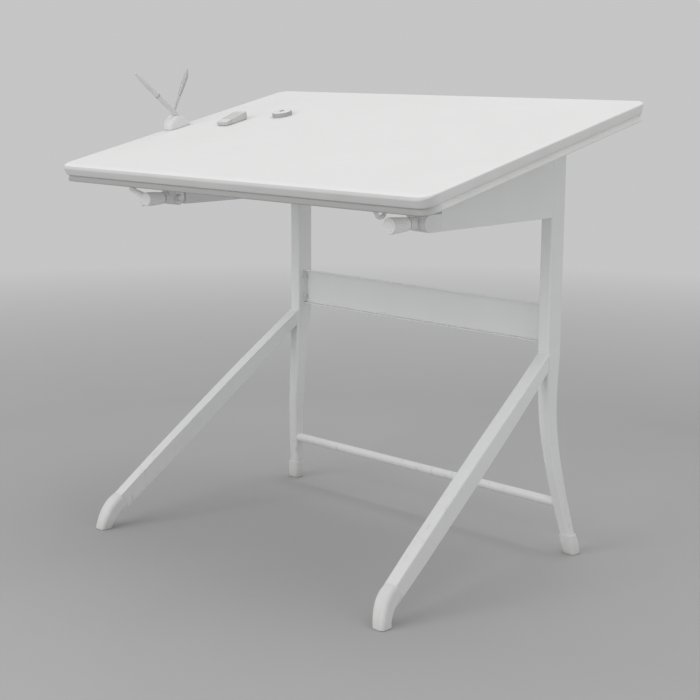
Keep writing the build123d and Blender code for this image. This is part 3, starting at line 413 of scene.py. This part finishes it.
def bristles():
    """Pale filament, each strand a little different."""
    shader = Shader("brush_bristle", specular=0.4)
    base = (0.58, 0.57, 0.55)
    strand = shader.noise(1, 3, 0.6, shader.stretched((2600, 2600, 60)))
    shader.colour(base, [(shader.spread(strand, 0.35, 0.7), tinted(base, 0.80))])
    shader.roughness(strand, 0.45, 0.65)
    shader.bump([(strand, 0.00015, 0.6)])
    return shader.material


laminate_finish = laminate()
band_finish = edge_band()
coat_finish = powder_coat("frame_paint")
hook_finish = powder_coat("hook_paint", (0.78, 0.785, 0.785))
socket_finish = powder_coat("socket_metal", (0.76, 0.765, 0.765))
knurl_painted_shade_finish = knurled()
cast_finish = cast_enamel()
steel_finish = plated_steel("bright_steel")
nut_finish = plated_steel("nut_steel", (0.72, 0.72, 0.73), (600, 600, 40))
brass_finish = brass()
boot_finish = rubber("boot_rubber", (0.74, 0.74, 0.735))
strip_finish = rubber("strip_rubber", (0.30, 0.30, 0.30), floor_dust=False)
pad_finish = rubber("pad_foam", (0.66, 0.66, 0.655), floor_dust=False)
grip_finish = moulded_plastic("grip_plastic", (0.88, 0.88, 0.875))
stand_finish = moulded_plastic("stand_plastic", (0.70, 0.70, 0.695), (0.46, 0.60), 1200, 0.00007)
pen_finish = moulded_plastic("pen_plastic", (0.62, 0.62, 0.625), (0.24, 0.36), 2200, 0.00002)
handle_finish = painted_wood("brush_lacquer", (900, 900, 30), (0.50, 0.50, 0.49))
ferrule_finish = plated_steel("brush_ferrule", (0.50, 0.50, 0.50), (900, 900, 60))
bristle_finish = bristles()
vinyl_finish = vinyl("eraser_vinyl", (0.68, 0.68, 0.675))
# Painted shade: a darker copy of the eraser vinyl for the eraser's side faces.
vinyl_painted_shade_sides = vinyl("eraser_vinyl_painted_shade_sides", (0.54, 0.54, 0.535))
card_finish = card()
cross_grain = painted_wood("underframe_wood_across", (6, 260, 260))
along_grain = painted_wood("underframe_wood_along", (260, 6, 260))

FINISH_OF_SLOT = {
    "board_laminate": laminate_finish,
    "underframe_wood": along_grain,
    "frame_paint": coat_finish,
    "cast_paint": cast_finish,
    "bright_steel": steel_finish,
    "shoe_brass": brass_finish,
    "boot_rubber": boot_finish,
    "strip_rubber": strip_finish,
    "grip_plastic": grip_finish,
    "socket_metal": socket_finish,
    "nut_steel": nut_finish,
    "hook_paint": hook_finish,
    "stand_plastic": stand_finish,
    "pad_foam": pad_finish,
    "pen_plastic": pen_finish,
    "brush_handle": handle_finish,
    "eraser_vinyl": vinyl_finish,
    "sleeve_card": card_finish,
}


def finish_cad_nodes():
    """Give every CAD node the finish of its material slot; the long rails get lengthwise grain."""
    for subpart in frame["record"]["subparts"]:
        node = nodes[subpart["node"]]
        node.data.materials.clear()
        node.data.materials.append(FINISH_OF_SLOT[subpart["material_slot"]])
    for name in ("front_rail", "rear_rail"):
        nodes[name].data.materials.clear()
        nodes[name].data.materials.append(cross_grain)
    # Painted shade: faces square to the board on the lamp socket and eraser get a darker material.
    for name, shaded_side_finish in (("lamp_socket", knurl_painted_shade_finish), ("eraser_block", vinyl_painted_shade_sides)):
        mesh = nodes[name].data
        mesh.materials.append(shaded_side_finish)
        for polygon in mesh.polygons:
            polygon.material_index = 1 if abs(polygon.normal.dot(BOARD_NORMAL)) < 0.6 else 0


# ---------------------------------------------------------------- mesh helpers
def piece_from(name, mesh_builder, finish, body, smooth_angle=40):
    """Turn a bmesh into a finished piece that rides on a body."""
    mesh = bpy.data.meshes.new(name)
    mesh_builder.normal_update()
    mesh_builder.to_mesh(mesh)
    mesh_builder.free()
    piece = bpy.data.objects.new(name, mesh)
    bpy.context.scene.collection.objects.link(piece)
    mesh.materials.append(finish)
    mesh.set_sharp_from_angle(angle=math.radians(smooth_angle))
    for polygon in mesh.polygons:
        polygon.use_smooth = True
    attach(piece, body)
    return piece


def axes_about(direction):
    """Two unit vectors square to a direction and to each other, the first as near +X as it gets."""
    direction = direction.normalized()
    across = (X_AXIS - direction * X_AXIS.dot(direction)).normalized()
    return across, direction.cross(across)


def span_along(node_name, direction):
    """Start point on the centre line and length of a CAD node measured along a direction."""
    direction = direction.normalized()
    across, upward = axes_about(direction)
    points = [vertex.co for vertex in nodes[node_name].data.vertices]
    along_values = [point.dot(direction) for point in points]
    start = min(along_values)
    centre = Vector((0, 0, 0))
    for axis in (across, upward):
        values = [point.dot(axis) for point in points]
        centre += axis * (min(values) + max(values)) / 2
    return centre + direction * start, max(along_values) - start


def add_ring(builder, centre, across, upward, radius_at, count):
    """One ring of vertices; radius_at(angle) gives the two half-widths at that angle."""
    ring = []
    for step in range(count):
        angle = 2 * math.pi * step / count
        wide, high = radius_at(angle)
        offset = across * (wide * math.cos(angle)) + upward * (high * math.sin(angle))
        ring.append(builder.verts.new(centre + offset))
    return ring


def bridge(builder, ring_a, ring_b):
    count = len(ring_a)
    for step in range(count):
        after = (step + 1) % count
        builder.faces.new((ring_a[step], ring_a[after], ring_b[after], ring_b[step]))


def skin_rings(rings, builder):
    """Close a stack of rings into a solid."""
    for ring_a, ring_b in zip(rings, rings[1:]):
        bridge(builder, ring_a, ring_b)
    builder.faces.new(list(reversed(rings[0])))
    builder.faces.new(rings[-1])


def turned(builder, start, direction, profile, count=48, flutes=0, flute_depth=0.0, fluted=(0, 0)):
    """Add a turned solid: profile is (distance, radius) pairs; flutes are cut between two distances."""
    across, upward = axes_about(direction)
    direction = direction.normalized()
    rings = []
    for distance, radius in profile:
        cut = flute_depth if fluted[0] <= distance <= fluted[1] else 0.0

        def radius_at(angle, radius=radius, cut=cut):
            value = radius - cut * (0.5 - 0.5 * math.cos(flutes * angle)) ** 2
            return value, value

        centre = start + direction * distance
        rings.append(add_ring(builder, centre, across, upward, radius_at, count))
    skin_rings(rings, builder)


def rounded_end(radius, distance, round_radius, outwards=1, steps=5):
    """Profile points that round a turned end over; outwards is -1 at the start and 1 at the end."""
    points = []
    for step in range(steps + 1):
        angle = math.pi / 2 * step / steps
        fall = round_radius * (1 - math.cos(angle))
        run = round_radius * (1 - math.sin(angle))
        points.append((distance - outwards * run, radius - fall))
    return points if outwards > 0 else list(reversed(points))


# ---------------------------------------------------------------- drawing board
def rounded_outline(low, high, inset, corner, steps=14):
    """Rounded rectangle on the board, counter-clockwise: (x, slope, how squarely it faces front)."""
    radius = max(corner - inset, 0.002)
    left, right = low[0] + inset + radius, high[0] - inset - radius
    front, rear = low[1] + inset + radius, high[1] - inset - radius
    points = []
    corners = ((right, rear, 0), (left, rear, 90), (left, front, 180), (right, front, 270))
    for centre_x, centre_slope, first_angle in corners:
        for step in range(steps + 1):
            angle = math.radians(first_angle + 90 * step / steps)
            x = centre_x + radius * math.cos(angle)
            slope = centre_slope + radius * math.sin(angle)
            points.append((x, slope, max(0.0, -math.sin(angle))))
    return points


def edge_profile(bottom, top, nose_reach, nose_drop, foot_inset, ease):
    """Section of the board's edge from the bottom up, as (inset, height) pairs."""
    ease_steps, nose_steps = 6, 16
    bottom_margin, top_margin = 0.005, 0.004
    foot = bottom + ease
    profile = [(foot_inset + ease + bottom_margin, bottom)]
    for step in range(ease_steps + 1):
        angle = math.radians(90 * step / ease_steps)
        inset = foot_inset + ease * (1 - math.sin(angle))
        profile.append((inset, foot - ease * math.cos(angle)))
    for step in range(nose_steps + 1):
        angle = math.radians(90 * step / nose_steps)
        inset = nose_reach * (1 - math.cos(angle))
        profile.append((inset, top - nose_drop * (1 - math.sin(angle))))
    profile.append((nose_reach + top_margin, top))
    return profile


def board_panel():
    """Drawing board: a long roll at the front, short ones elsewhere, sides drawn in, bottom eased."""
    side_draw = math.tan(math.radians(15))
    ease, corner = 0.005, 0.032
    band_below, socket_hole, drill_lead = 0.92, 0.0121, 0.02
    short_nose, long_nose = (0.011, 0.0042), (0.021, 0.0095)
    bottom, top = extent("drawing_board", BOARD_NORMAL)
    front, rear = extent("drawing_board", UP_SLOPE)
    left, right = extent("drawing_board", X_AXIS)
    foot_inset = (top - short_nose[1] - bottom - ease) * side_draw
    plain_section = edge_profile(bottom, top, *short_nose, foot_inset, ease)
    front_section = edge_profile(bottom, top, *long_nose, foot_inset, ease)
    builder = bmesh.new()
    rings = []
    for (plain_inset, plain_height), (front_inset, front_height) in zip(plain_section, front_section):
        plain = rounded_outline((left, front), (right, rear), plain_inset, corner)
        rolled = rounded_outline((left, front), (right, rear), front_inset, corner)
        ring = []
        for (x, slope, facing), (rolled_x, rolled_slope, _) in zip(plain, rolled):
            start = board_point(x, slope, plain_height)
            end = board_point(rolled_x, rolled_slope, front_height)
            ring.append(builder.verts.new(start.lerp(end, facing)))
        rings.append(ring)
    skin_rings(rings, builder)
    piece = piece_from("drawing_board_panel", builder, laminate_finish, "board", 30)
    piece.data.materials.append(band_finish)
    for polygon in piece.data.polygons:
        facing_up = abs(polygon.normal.dot(BOARD_NORMAL))
        polygon.material_index = 1 if facing_up < band_below else 0
    socket_start, socket_length = span_along("lamp_socket", BOARD_NORMAL)
    drill_start = socket_start - BOARD_NORMAL * drill_lead
    drill_out(piece, drill_start, BOARD_NORMAL, socket_hole, socket_length)
    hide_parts("drawing_board")


def drill_out(piece, start, direction, radius, length):
    """Cut a round hole through a piece."""
    drill = bmesh.new()
    turned(drill, start, direction, [(0, radius), (length, radius)], 48)
    cutter_mesh = bpy.data.meshes.new("drill")
    drill.to_mesh(cutter_mesh)
    drill.free()
    cutter = bpy.data.objects.new("drill", cutter_mesh)
    bpy.context.scene.collection.objects.link(cutter)
    bore = piece.modifiers.new("bore", "BOOLEAN")
    bore.operation = "DIFFERENCE"
    bore.solver = "EXACT"
    bore.object = cutter
    apply_modifiers(piece)
    bpy.data.objects.remove(cutter)


# ---------------------------------------------------------------- welds
def outer_loop(points):
    """Convex outline of points in the XZ plane, counter-clockwise."""
    flat = sorted({(round(point.x, 5), round(point.z, 5)) for point in points})

    def half(ordered):
        chain = []
        for x, z in ordered:
            while len(chain) > 1:
                (ax, az), (bx, bz) = chain[-2], chain[-1]
                if (bx - ax) * (z - az) - (bz - az) * (x - ax) > 0:
                    break
                chain.pop()
            chain.append((x, z))
        return chain[:-1]

    return half(flat) + half(list(reversed(flat)))


def evenly_spaced(loop, y, pitch):
    """Points at a steady pitch along a closed outline, in the plane at y."""
    corners = [Vector((x, y, z)) for x, z in loop]
    lengths = [(corners[index - 1] - corners[index]).length for index in range(len(corners))]
    total = sum(lengths)
    count = int(total / pitch)
    points = []
    walked, index = 0.0, 0
    for step in range(count):
        target = total * step / count
        while walked + lengths[index] < target:
            walked += lengths[index]
            index += 1
        share = (target - walked) / lengths[index]
        points.append(corners[index - 1].lerp(corners[index], share))
    return points


def leg_welds():
    """Rippled weld bead all round the joint between each front leg and its post."""
    across_joint = Vector((0, 1, 0))
    bead, ripple, unevenness, pitch = 0.0021, 0.00022, 0.00012, 0.0007
    rim_depth = 0.0002
    for side in SIDES:
        vertices = nodes[f"{side}_front_leg"].data.vertices
        joint_y = max(vertex.co.y for vertex in vertices)
        rim = [vertex.co for vertex in vertices if vertex.co.y > joint_y - rim_depth]
        outline = outer_loop(rim)
        leg_end_plate(side, outline, joint_y)
        loop = evenly_spaced(outline, joint_y + rim_depth, pitch)
        builder = bmesh.new()
        rings = []
        count = len(loop)
        for step, point in enumerate(loop):
            direction = (loop[(step + 1) % count] - loop[step - 1]).normalized()
            outwards = direction.cross(across_joint).normalized()
            size = bead + ripple * math.sin(step * 1.9) + unevenness * random.random()
            rings.append(
                add_ring(builder, point, outwards, across_joint, lambda a, r=size: (r, r * 0.9), 14)
            )
        for ring_a, ring_b in zip(rings, rings[1:] + rings[:1]):
            bridge(builder, ring_a, ring_b)
        bmesh.ops.recalc_face_normals(builder, faces=builder.faces)
        piece_from(f"{side}_leg_weld", builder, coat_finish, "base", 60)


def leg_end_plate(side, outline, joint_y):
    """Thin plate that closes the leg's tube where its end stands proud of the post."""
    centre_x = sum(x for x, z in outline) / len(outline)
    centre_z = sum(z for x, z in outline) / len(outline)
    inward = 0.96
    front_depth, rear_depth = 0.0016, 0.0002
    builder = bmesh.new()
    rings = []
    for y in (joint_y - front_depth, joint_y - rear_depth):
        ring = []
        for x, z in outline:
            spot = (centre_x + (x - centre_x) * inward, y, centre_z + (z - centre_z) * inward)
            ring.append(builder.verts.new(spot))
        rings.append(ring)
    skin_rings(rings, builder)
    bmesh.ops.recalc_face_normals(builder, faces=builder.faces)
    piece_from(f"{side}_leg_end_plate", builder, coat_finish, "base")


def rod_collars():
    """Flared welded collar where the foot rod meets the inner face of each rear leg."""
    reach = 0.013
    low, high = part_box("foot_rod")
    middle = (low + high) / 2
    radius = (high.z - low.z) / 2
    depsgraph = bpy.context.evaluated_depsgraph_get()
    for side, direction in (("right", X_AXIS), ("left", -X_AXIS)):
        leg_skin = BVHTree.FromObject(nodes[f"{side}_rear_leg"], depsgraph)
        hit = leg_skin.ray_cast(middle, direction)[0]
        start = hit - direction * reach
        profile = [
            (0.0, radius - 0.0004),
            (0.0004, radius + 0.0003),
            (0.004, radius + 0.0007),
            (0.008, radius + 0.0017),
            (0.011, radius + 0.0032),
            (0.0135, radius + 0.0056),
            (0.0150, radius + 0.0056),
        ]
        builder = bmesh.new()
        turned(builder, start, direction, profile, 56)
        piece_from(f"{side}_rod_collar", builder, coat_finish, "base", 50)


# ---------------------------------------------------------------- clamp knob and lever
def clamp_knob():
    """Tapered grip with fine flutes, a smooth collar behind and a slightly domed cap in front."""
    start, length = span_along("right_clamp_knob", FORWARD)
    rear_radius, front_radius = 0.0150, 0.0179
    rear_round, front_round = 0.005, 0.0028
    cap_step, cap_width = 0.0012, 0.0048
    taper_start, taper_end = 0.007, length - 0.010
    flutes, flute_depth = 24, 0.0007
    fluted = (length * 0.24, length * 0.88)
    steps = 16
    profile = rounded_end(rear_radius, 0.0, rear_round, outwards=-1)
    for step in range(steps + 1):
        share = step / steps
        distance = taper_start + (taper_end - taper_start) * share
        radius = rear_radius + (front_radius - rear_radius) * share**0.8
        profile.append((distance, radius))
    profile += rounded_end(front_radius, length - cap_step, front_round, steps=6)
    profile.append((length - cap_step, front_radius - cap_width))
    profile.append((length, front_radius - cap_width - 0.001))
    builder = bmesh.new()
    turned(builder, start, FORWARD, profile, 144, flutes, flute_depth, fluted)
    piece = piece_from("right_knob_grip", builder, grip_finish, "right_knob", 35)
    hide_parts("right_clamp_knob")


def swept(builder, path, radii):
    """Add a solid swept through path points, each with its own radius."""
    count = 24
    rings = []
    for index, point in enumerate(path):
        before = path[max(index - 1, 0)]
        after = path[min(index + 1, len(path) - 1)]
        direction = (after - before).normalized()
        sideways = direction.cross(FORWARD).normalized()
        depth = sideways.cross(direction).normalized()
        half_widths = (radii[index], radii[index])
        rings.append(
            add_ring(builder, point, sideways, depth, lambda angle, s=half_widths: s, count)
        )
    skin_rings(rings, builder)


def curve_point(a, b, c, share):
    """Point on the quadratic curve from a to c that leans towards b."""
    return a * (1 - share) ** 2 + b * (2 * share * (1 - share)) + c * share**2


def ball(builder, centre, radius):
    """Add a finely divided ball to a mesh that melt() will fuse."""
    placed = Matrix.Translation(centre)
    bmesh.ops.create_icosphere(builder, subdivisions=3, radius=radius, matrix=placed)


def clamp_lever():
    """Cast lever: hub, curved tapering handle with a bulb end, and a short tail in one skin."""
    hub_axis = joints["lever_turn"]["pos_m"]
    low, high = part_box("left_clamp_lever")
    hub_start = Vector((hub_axis[0], high.y, hub_axis[2]))
    length = high.y - low.y
    hub_rear, hub_middle, hub_front, hub_nose = 0.0150, 0.0160, 0.0167, 0.0168
    handle_back = 0.019
    handle_root, handle_loss = 0.0105, 0.0042
    bulb, tail_bulb = 0.0076, 0.0064
    tail_radii = (0.0095, 0.0088, 0.0078, 0.0070, 0.0065, 0.0062, 0.0058)
    steps = 14

    builder = bmesh.new()
    hub = rounded_end(hub_rear, 0.0, 0.005, outwards=-1)
    hub += [(length * 0.4, hub_middle), (length * 0.7, hub_front)]
    hub += rounded_end(hub_nose, length - 0.0005, 0.0035)
    turned(builder, hub_start, FORWARD, hub, 64)

    root = hub_start + FORWARD * (length - handle_back)
    tip = Vector((low.x + bulb, root.y, high.z - bulb))
    bend = root + Vector((-0.040, 0, 0.006))
    path = [curve_point(root, bend, tip, step / steps) for step in range(steps + 1)]
    radii = [handle_root - handle_loss * min(1, 1.4 * step / steps) for step in range(steps + 1)]
    swept(builder, path, radii)
    ball(builder, tip, bulb)

    tail_tip = root + Vector((-0.0345, 0, -0.0146))
    tail_steps = len(tail_radii) - 1
    tail = [root.lerp(tail_tip, step / tail_steps) for step in range(tail_steps + 1)]
    swept(builder, tail, tail_radii)
    ball(builder, tail_tip, tail_bulb)
    piece = piece_from("left_lever_grip", builder, grip_finish, "left_lever")
    melt(piece, voxel=0.0009, rounds=7)
    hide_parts("left_clamp_lever")


def melt(piece, voxel, rounds):
    """Fuse overlapping shells into one skin and soften the places where they meet."""
    remesh = piece.modifiers.new("fuse", "REMESH")
    remesh.mode = "VOXEL"
    remesh.voxel_size = voxel
    remesh.use_smooth_shade = True
    smooth = piece.modifiers.new("soften", "SMOOTH")
    smooth.factor = 0.5
    smooth.iterations = rounds
    apply_modifiers(piece)


def apply_modifiers(piece):
    """Swap a piece's mesh for its modified one, keeping the material of each face."""
    depsgraph = bpy.context.evaluated_depsgraph_get()
    evaluated = piece.evaluated_get(depsgraph)
    mesh = bpy.data.meshes.new_from_object(evaluated)
    materials = list(piece.data.materials)
    indices = [min(polygon.material_index, len(materials) - 1) for polygon in mesh.polygons]
    piece.modifiers.clear()
    piece.data = mesh
    mesh.materials.clear()
    for material in materials:
        mesh.materials.append(material)
    for polygon, index in zip(mesh.polygons, indices):
        polygon.material_index = index
        polygon.use_smooth = True


# ---------------------------------------------------------------- pen and brush
def groove(at, radius, depth, ramp, width):
    """Profile points of one shallow groove round a turned barrel."""
    return [
        (at, radius),
        (at + ramp, radius - depth),
        (at + width - ramp, radius - depth),
        (at + width, radius),
    ]


def pen_profile(length, radius):
    """Section of the pen from its blunt end: barrel, joint line, grip rings and tapered nose."""
    tip_radius = 0.0031
    joint_depth, joint_ramp, joint_width = 0.0005, 0.0004, 0.0016
    ring_depth, ring_ramp, ring_width = 0.0003, 0.0006, 0.0022
    first_ring, ring_pitch, ring_count = 0.006, 0.008, 4
    nose_steps = 9
    barrel_end = length * PEN_BARREL_SHARE
    grip_end = length * 0.765
    profile = rounded_end(radius, 0.0, 0.0015, outwards=-1)
    profile += groove(barrel_end - joint_ramp, radius, joint_depth, joint_ramp, joint_width)
    for ring in range(ring_count):
        at = barrel_end + first_ring + ring * ring_pitch
        profile += groove(at, radius, ring_depth, ring_ramp, ring_width)
    nose_end = length - tip_radius
    for step in range(nose_steps):
        share = step / nose_steps
        fall = (radius - tip_radius) * share**1.2
        profile.append((grip_end + (nose_end - grip_end) * share, radius - fall))
    return profile + rounded_end(tip_radius, length, tip_radius * 0.97)


def drawing_pen():
    """Stout drawing pen, nib end up, with a metal band below the joint in its barrel."""
    direction = Vector(joints["pen_lift"]["axis"]).normalized()
    start, length = span_along("drawing_pen", direction)
    radius = 0.0065
    builder = bmesh.new()
    turned(builder, start, direction, pen_profile(length, radius), 48)
    piece = piece_from("drawing_pen_body", builder, pen_finish, "pen", 30)
    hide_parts("drawing_pen")

    band_start = length * PEN_BARREL_SHARE - 0.0075
    half_band = 0.0022
    sunk, proud, crowned = radius - 0.0004, radius + 0.00025, radius + 0.00035
    band_profile = [
        (band_start, sunk),
        (band_start, proud),
        (band_start + half_band, crowned),
        (band_start + 2 * half_band, proud),
        (band_start + 2 * half_band, sunk),
    ]
    band = bmesh.new()
    turned(band, start, direction, band_profile, 48)
    piece_from("drawing_pen_band", band, ferrule_finish, "pen")


def paint_brush():
    """Round-handled brush with a crimped, flaring ferrule and a full head of bristle."""
    direction = Vector(joints["brush_lift"]["axis"]).normalized()
    start, length = span_along("paint_brush", direction)
    ferrule_start, ferrule_end = length * 0.50, length * 0.70
    tenon, head_overlap = 0.002, 0.002
    handle = bmesh.new()
    profile = rounded_end(0.0036, 0.0, 0.002, outwards=-1)
    profile += [
        (length * 0.16, 0.0036),
        (length * 0.34, 0.0033),
        (length * 0.46, 0.0035),
        (ferrule_start + tenon, 0.0037),
    ]
    turned(handle, start, direction, profile, 40)
    piece = piece_from("paint_brush_handle", handle, handle_finish, "brush")
    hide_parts("paint_brush")
    brush_ferrule(start + direction * ferrule_start, ferrule_end - ferrule_start, direction)
    bristle_head(start + direction * (ferrule_end - head_overlap), length - ferrule_end, direction)


def brush_ferrule(root, reach, direction):
    """Thin metal sleeve that flares towards the bristle, crimped on to the handle."""
    across, upward = axes_about(direction)
    steps = 34
    crimp_depth, crimp_pitch, crimp_middle = 0.0004, 44, 0.16
    ferrule = bmesh.new()
    rings = []
    for step in range(steps + 1):
        share = step / steps
        crimp = 0
        if 0.12 < share < 0.30:
            crimp = crimp_depth * max(0, math.cos((share - crimp_middle) * crimp_pitch))
        wide = 0.0041 + 0.0011 * share
        high = 0.0041 + 0.0018 * share
        shape = (wide - crimp, high - crimp)
        centre = root + direction * (reach * share)
        rings.append(add_ring(ferrule, centre, across, upward, lambda angle, s=shape: s, 40))
    skin_rings(rings, ferrule)
    piece_from("paint_brush_ferrule", ferrule, ferrule_finish, "brush")


def head_outline(share):
    """Half-widths of the bristle head, from the ferrule to the tip."""
    belly = math.sin(math.pi * min(1, 0.25 + share * 0.6))
    closing = 1 - max(0, (share - 0.55) / 0.45) ** 1.8
    return (0.0049 + 0.0003 * belly) * closing, (0.0056 + 0.0006 * belly) * closing


def bristle_core(tuft, root, reach, direction, slant):
    """Solid middle of the head, just inside its outline."""
    across, upward = axes_about(direction)
    levels, count = 22, 44
    inside = 0.95
    rings = []
    for level in range(levels + 1):
        share = level / levels
        wide, high = head_outline(share * 0.985)
        shape = (wide * inside, high * inside)
        centre = root + direction * ((reach - 0.003) * share)
        ring = add_ring(tuft, centre, across, upward, lambda angle, s=shape: s, count)
        for step, vertex in enumerate(ring):
            vertex.co -= direction * (slant * share**2 * math.sin(2 * math.pi * step / count))
        rings.append(ring)
    skin_rings(rings, tuft)


def bristle_strand(tuft, root, reach, direction, slant):
    """One loose strand, at a random place round the head and of a random length."""
    across, upward = axes_about(direction)
    bends, sides = 8, 4
    strand_radius, thinning = 0.00030, 0.7
    turn = 2 * math.pi * random.random()
    cosine, sine = math.cos(turn), math.sin(turn)
    strand_reach = (reach - 0.002) * (0.86 + 0.12 * random.random())
    rings = []
    for step in range(bends + 1):
        share = step / bends
        wide, high = head_outline(share * strand_reach / reach)
        centre = root + direction * (strand_reach * share - slant * share**2 * sine)
        centre += across * (wide * 0.97 * cosine) + upward * (high * 0.97 * sine)
        size = strand_radius * (1 - thinning * share**2)
        rings.append(add_ring(tuft, centre, across, upward, lambda a, r=size: (r, r), sides))
    skin_rings(rings, tuft)


def bristle_head(root, reach, direction):
    """Solid core of the head with loose strands lying over it; the tip is cut aslant."""
    slant = 0.0045
    strands = 420
    tuft = bmesh.new()
    bristle_core(tuft, root, reach, direction, slant)
    for _ in range(strands):
        bristle_strand(tuft, root, reach, direction, slant)
    piece_from("paint_brush_tuft", tuft, bristle_finish, "brush")


# ---------------------------------------------------------------- pen stand
def squared(value, power):
    """Sine or cosine pushed outwards, so that a circle becomes a rounded square."""
    return math.copysign(abs(value) ** power, value)


def stand_rings(builder):
    """Rings of the mound from its foot to its crest."""
    front, rear = extent("pen_stand", UP_SLOPE)
    base, crest = extent("pen_stand", BOARD_NORMAL)
    left, right = extent("pen_stand", X_AXIS)
    middle_x = (left + right) / 2
    crest_slope = front + (rear - front) * 0.45
    crest_half = (rear - front) * 0.10
    front_power, rear_power = 0.60, 0.66
    levels, count = 16, 80
    rings = []
    for level in range(levels + 1):
        share = level / levels
        height = base + (crest - base) * share
        half_x = (right - left) / 2 * (1 - 0.24 * share**2.2)
        reach_front = crest_half + (crest_slope - crest_half - front) * (1 - share**3)
        reach_rear = crest_half + (rear - crest_slope - crest_half) * (1 - share) ** 0.60
        ring = []
        for step in range(count):
            angle = 2 * math.pi * step / count
            cosine, sine = math.cos(angle), math.sin(angle)
            power = front_power if sine < 0 else rear_power
            reach = reach_rear if sine > 0 else reach_front
            x = middle_x + half_x * squared(cosine, power)
            slope = crest_slope + reach * squared(sine, power)
            ring.append(builder.verts.new(board_point(x, slope, height)))
        rings.append(ring)
    return rings


def pen_stand():
    """Soft moulded mound: upright front, crest at the tool holes, falling away to the rear."""
    hole_radius = {"drawing_pen": 0.0071, "paint_brush": 0.0042}
    builder = bmesh.new()
    skin_rings(stand_rings(builder), builder)
    piece = piece_from("pen_stand_body", builder, stand_finish, "board")
    melt(piece, voxel=0.0011, rounds=9)
    for joint_name, node_name in (("pen_lift", "drawing_pen"), ("brush_lift", "paint_brush")):
        direction = Vector(joints[joint_name]["axis"]).normalized()
        start, length = span_along(node_name, direction)
        drill_out(piece, start, direction, hole_radius[node_name], length)
    piece.data.set_sharp_from_angle(angle=math.radians(50))
    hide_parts("pen_stand")


# ---------------------------------------------------------------- studio
def studio():
    """Pale floor that melts into the backdrop, with broad soft light from above, front and right."""
    floor_mesh = bmesh.new()
    bmesh.ops.create_circle(floor_mesh, cap_ends=True, segments=96, radius=40)
    mesh = bpy.data.meshes.new("floor")
    floor_mesh.to_mesh(mesh)
    floor_mesh.free()
    floor = bpy.data.objects.new("floor", mesh)
    bpy.context.scene.collection.objects.link(floor)
    shader = Shader("studio_floor", specular=0.0)
    base = (0.45, 0.45, 0.45)
    far = shader.distance_from_middle(1.6, 5.0)
    clouds = shader.spread(shader.noise(3, 3), 0.4, 0.7)
    shader.colour(base, [(clouds, tinted(base, 0.985)), (far, (0, 0, 0))])
    shader.principled.inputs["Roughness"].default_value = 0.9
    shader.principled.inputs["Emission Color"].default_value = (*BACKDROP, 1)
    shader.link(far, shader.principled.inputs["Emission Strength"])
    mesh.materials.append(shader.material)

    world = bpy.data.worlds.new("studio")
    world.use_nodes = True
    background = world.node_tree.nodes["Background"]
    background.inputs["Color"].default_value = (*BACKDROP, 1)
    background.inputs["Strength"].default_value = 1.0
    bpy.context.scene.world = world

    add_softbox("top_light", Vector((0.4, 0.7, 4.2)), 3.2, 43)
    add_softbox("front_light", Vector((-0.8, -4.2, 2.4)), 3.0, 74)
    add_softbox("right_light", Vector((4.6, -0.9, 1.5)), 2.2, 19)


def add_softbox(name, place, size, power):
    light = bpy.data.lights.new(name, "AREA")
    light.shape = "SQUARE"
    light.size = size
    light.energy = power
    lamp = bpy.data.objects.new(name, light)
    lamp.location = place
    lamp.rotation_mode = "QUATERNION"
    aim = Vector((0, 0, 0.8))
    lamp.rotation_quaternion = (aim - place).to_track_quat("-Z", "Y")
    bpy.context.scene.collection.objects.link(lamp)


def camera():
    """Three-quarter view from the front right, a little above the board."""
    yaw, pitch_down, lean = 43.878, 11.188, 0.247
    view = bpy.data.cameras.new("camera")
    view.lens = 76.39
    view.sensor_width = 36
    view.clip_end = 200
    eye = bpy.data.objects.new("camera", view)
    eye.location = (2.4715, -2.5368, 1.1780)
    turn = Matrix.Rotation(math.radians(yaw), 4, "Z")
    nod = Matrix.Rotation(math.radians(90 - pitch_down), 4, "X")
    roll = Matrix.Rotation(math.radians(lean), 4, "Z")
    eye.rotation_mode = "QUATERNION"
    eye.rotation_quaternion = (turn @ nod @ roll).to_quaternion()
    bpy.context.scene.collection.objects.link(eye)
    bpy.context.scene.camera = eye
    bpy.context.scene.view_settings.view_transform = "Standard"


finish_cad_nodes()
board_panel()
leg_welds()
rod_collars()
clamp_knob()
clamp_lever()
drawing_pen()
paint_brush()
pen_stand()
studio()
camera()
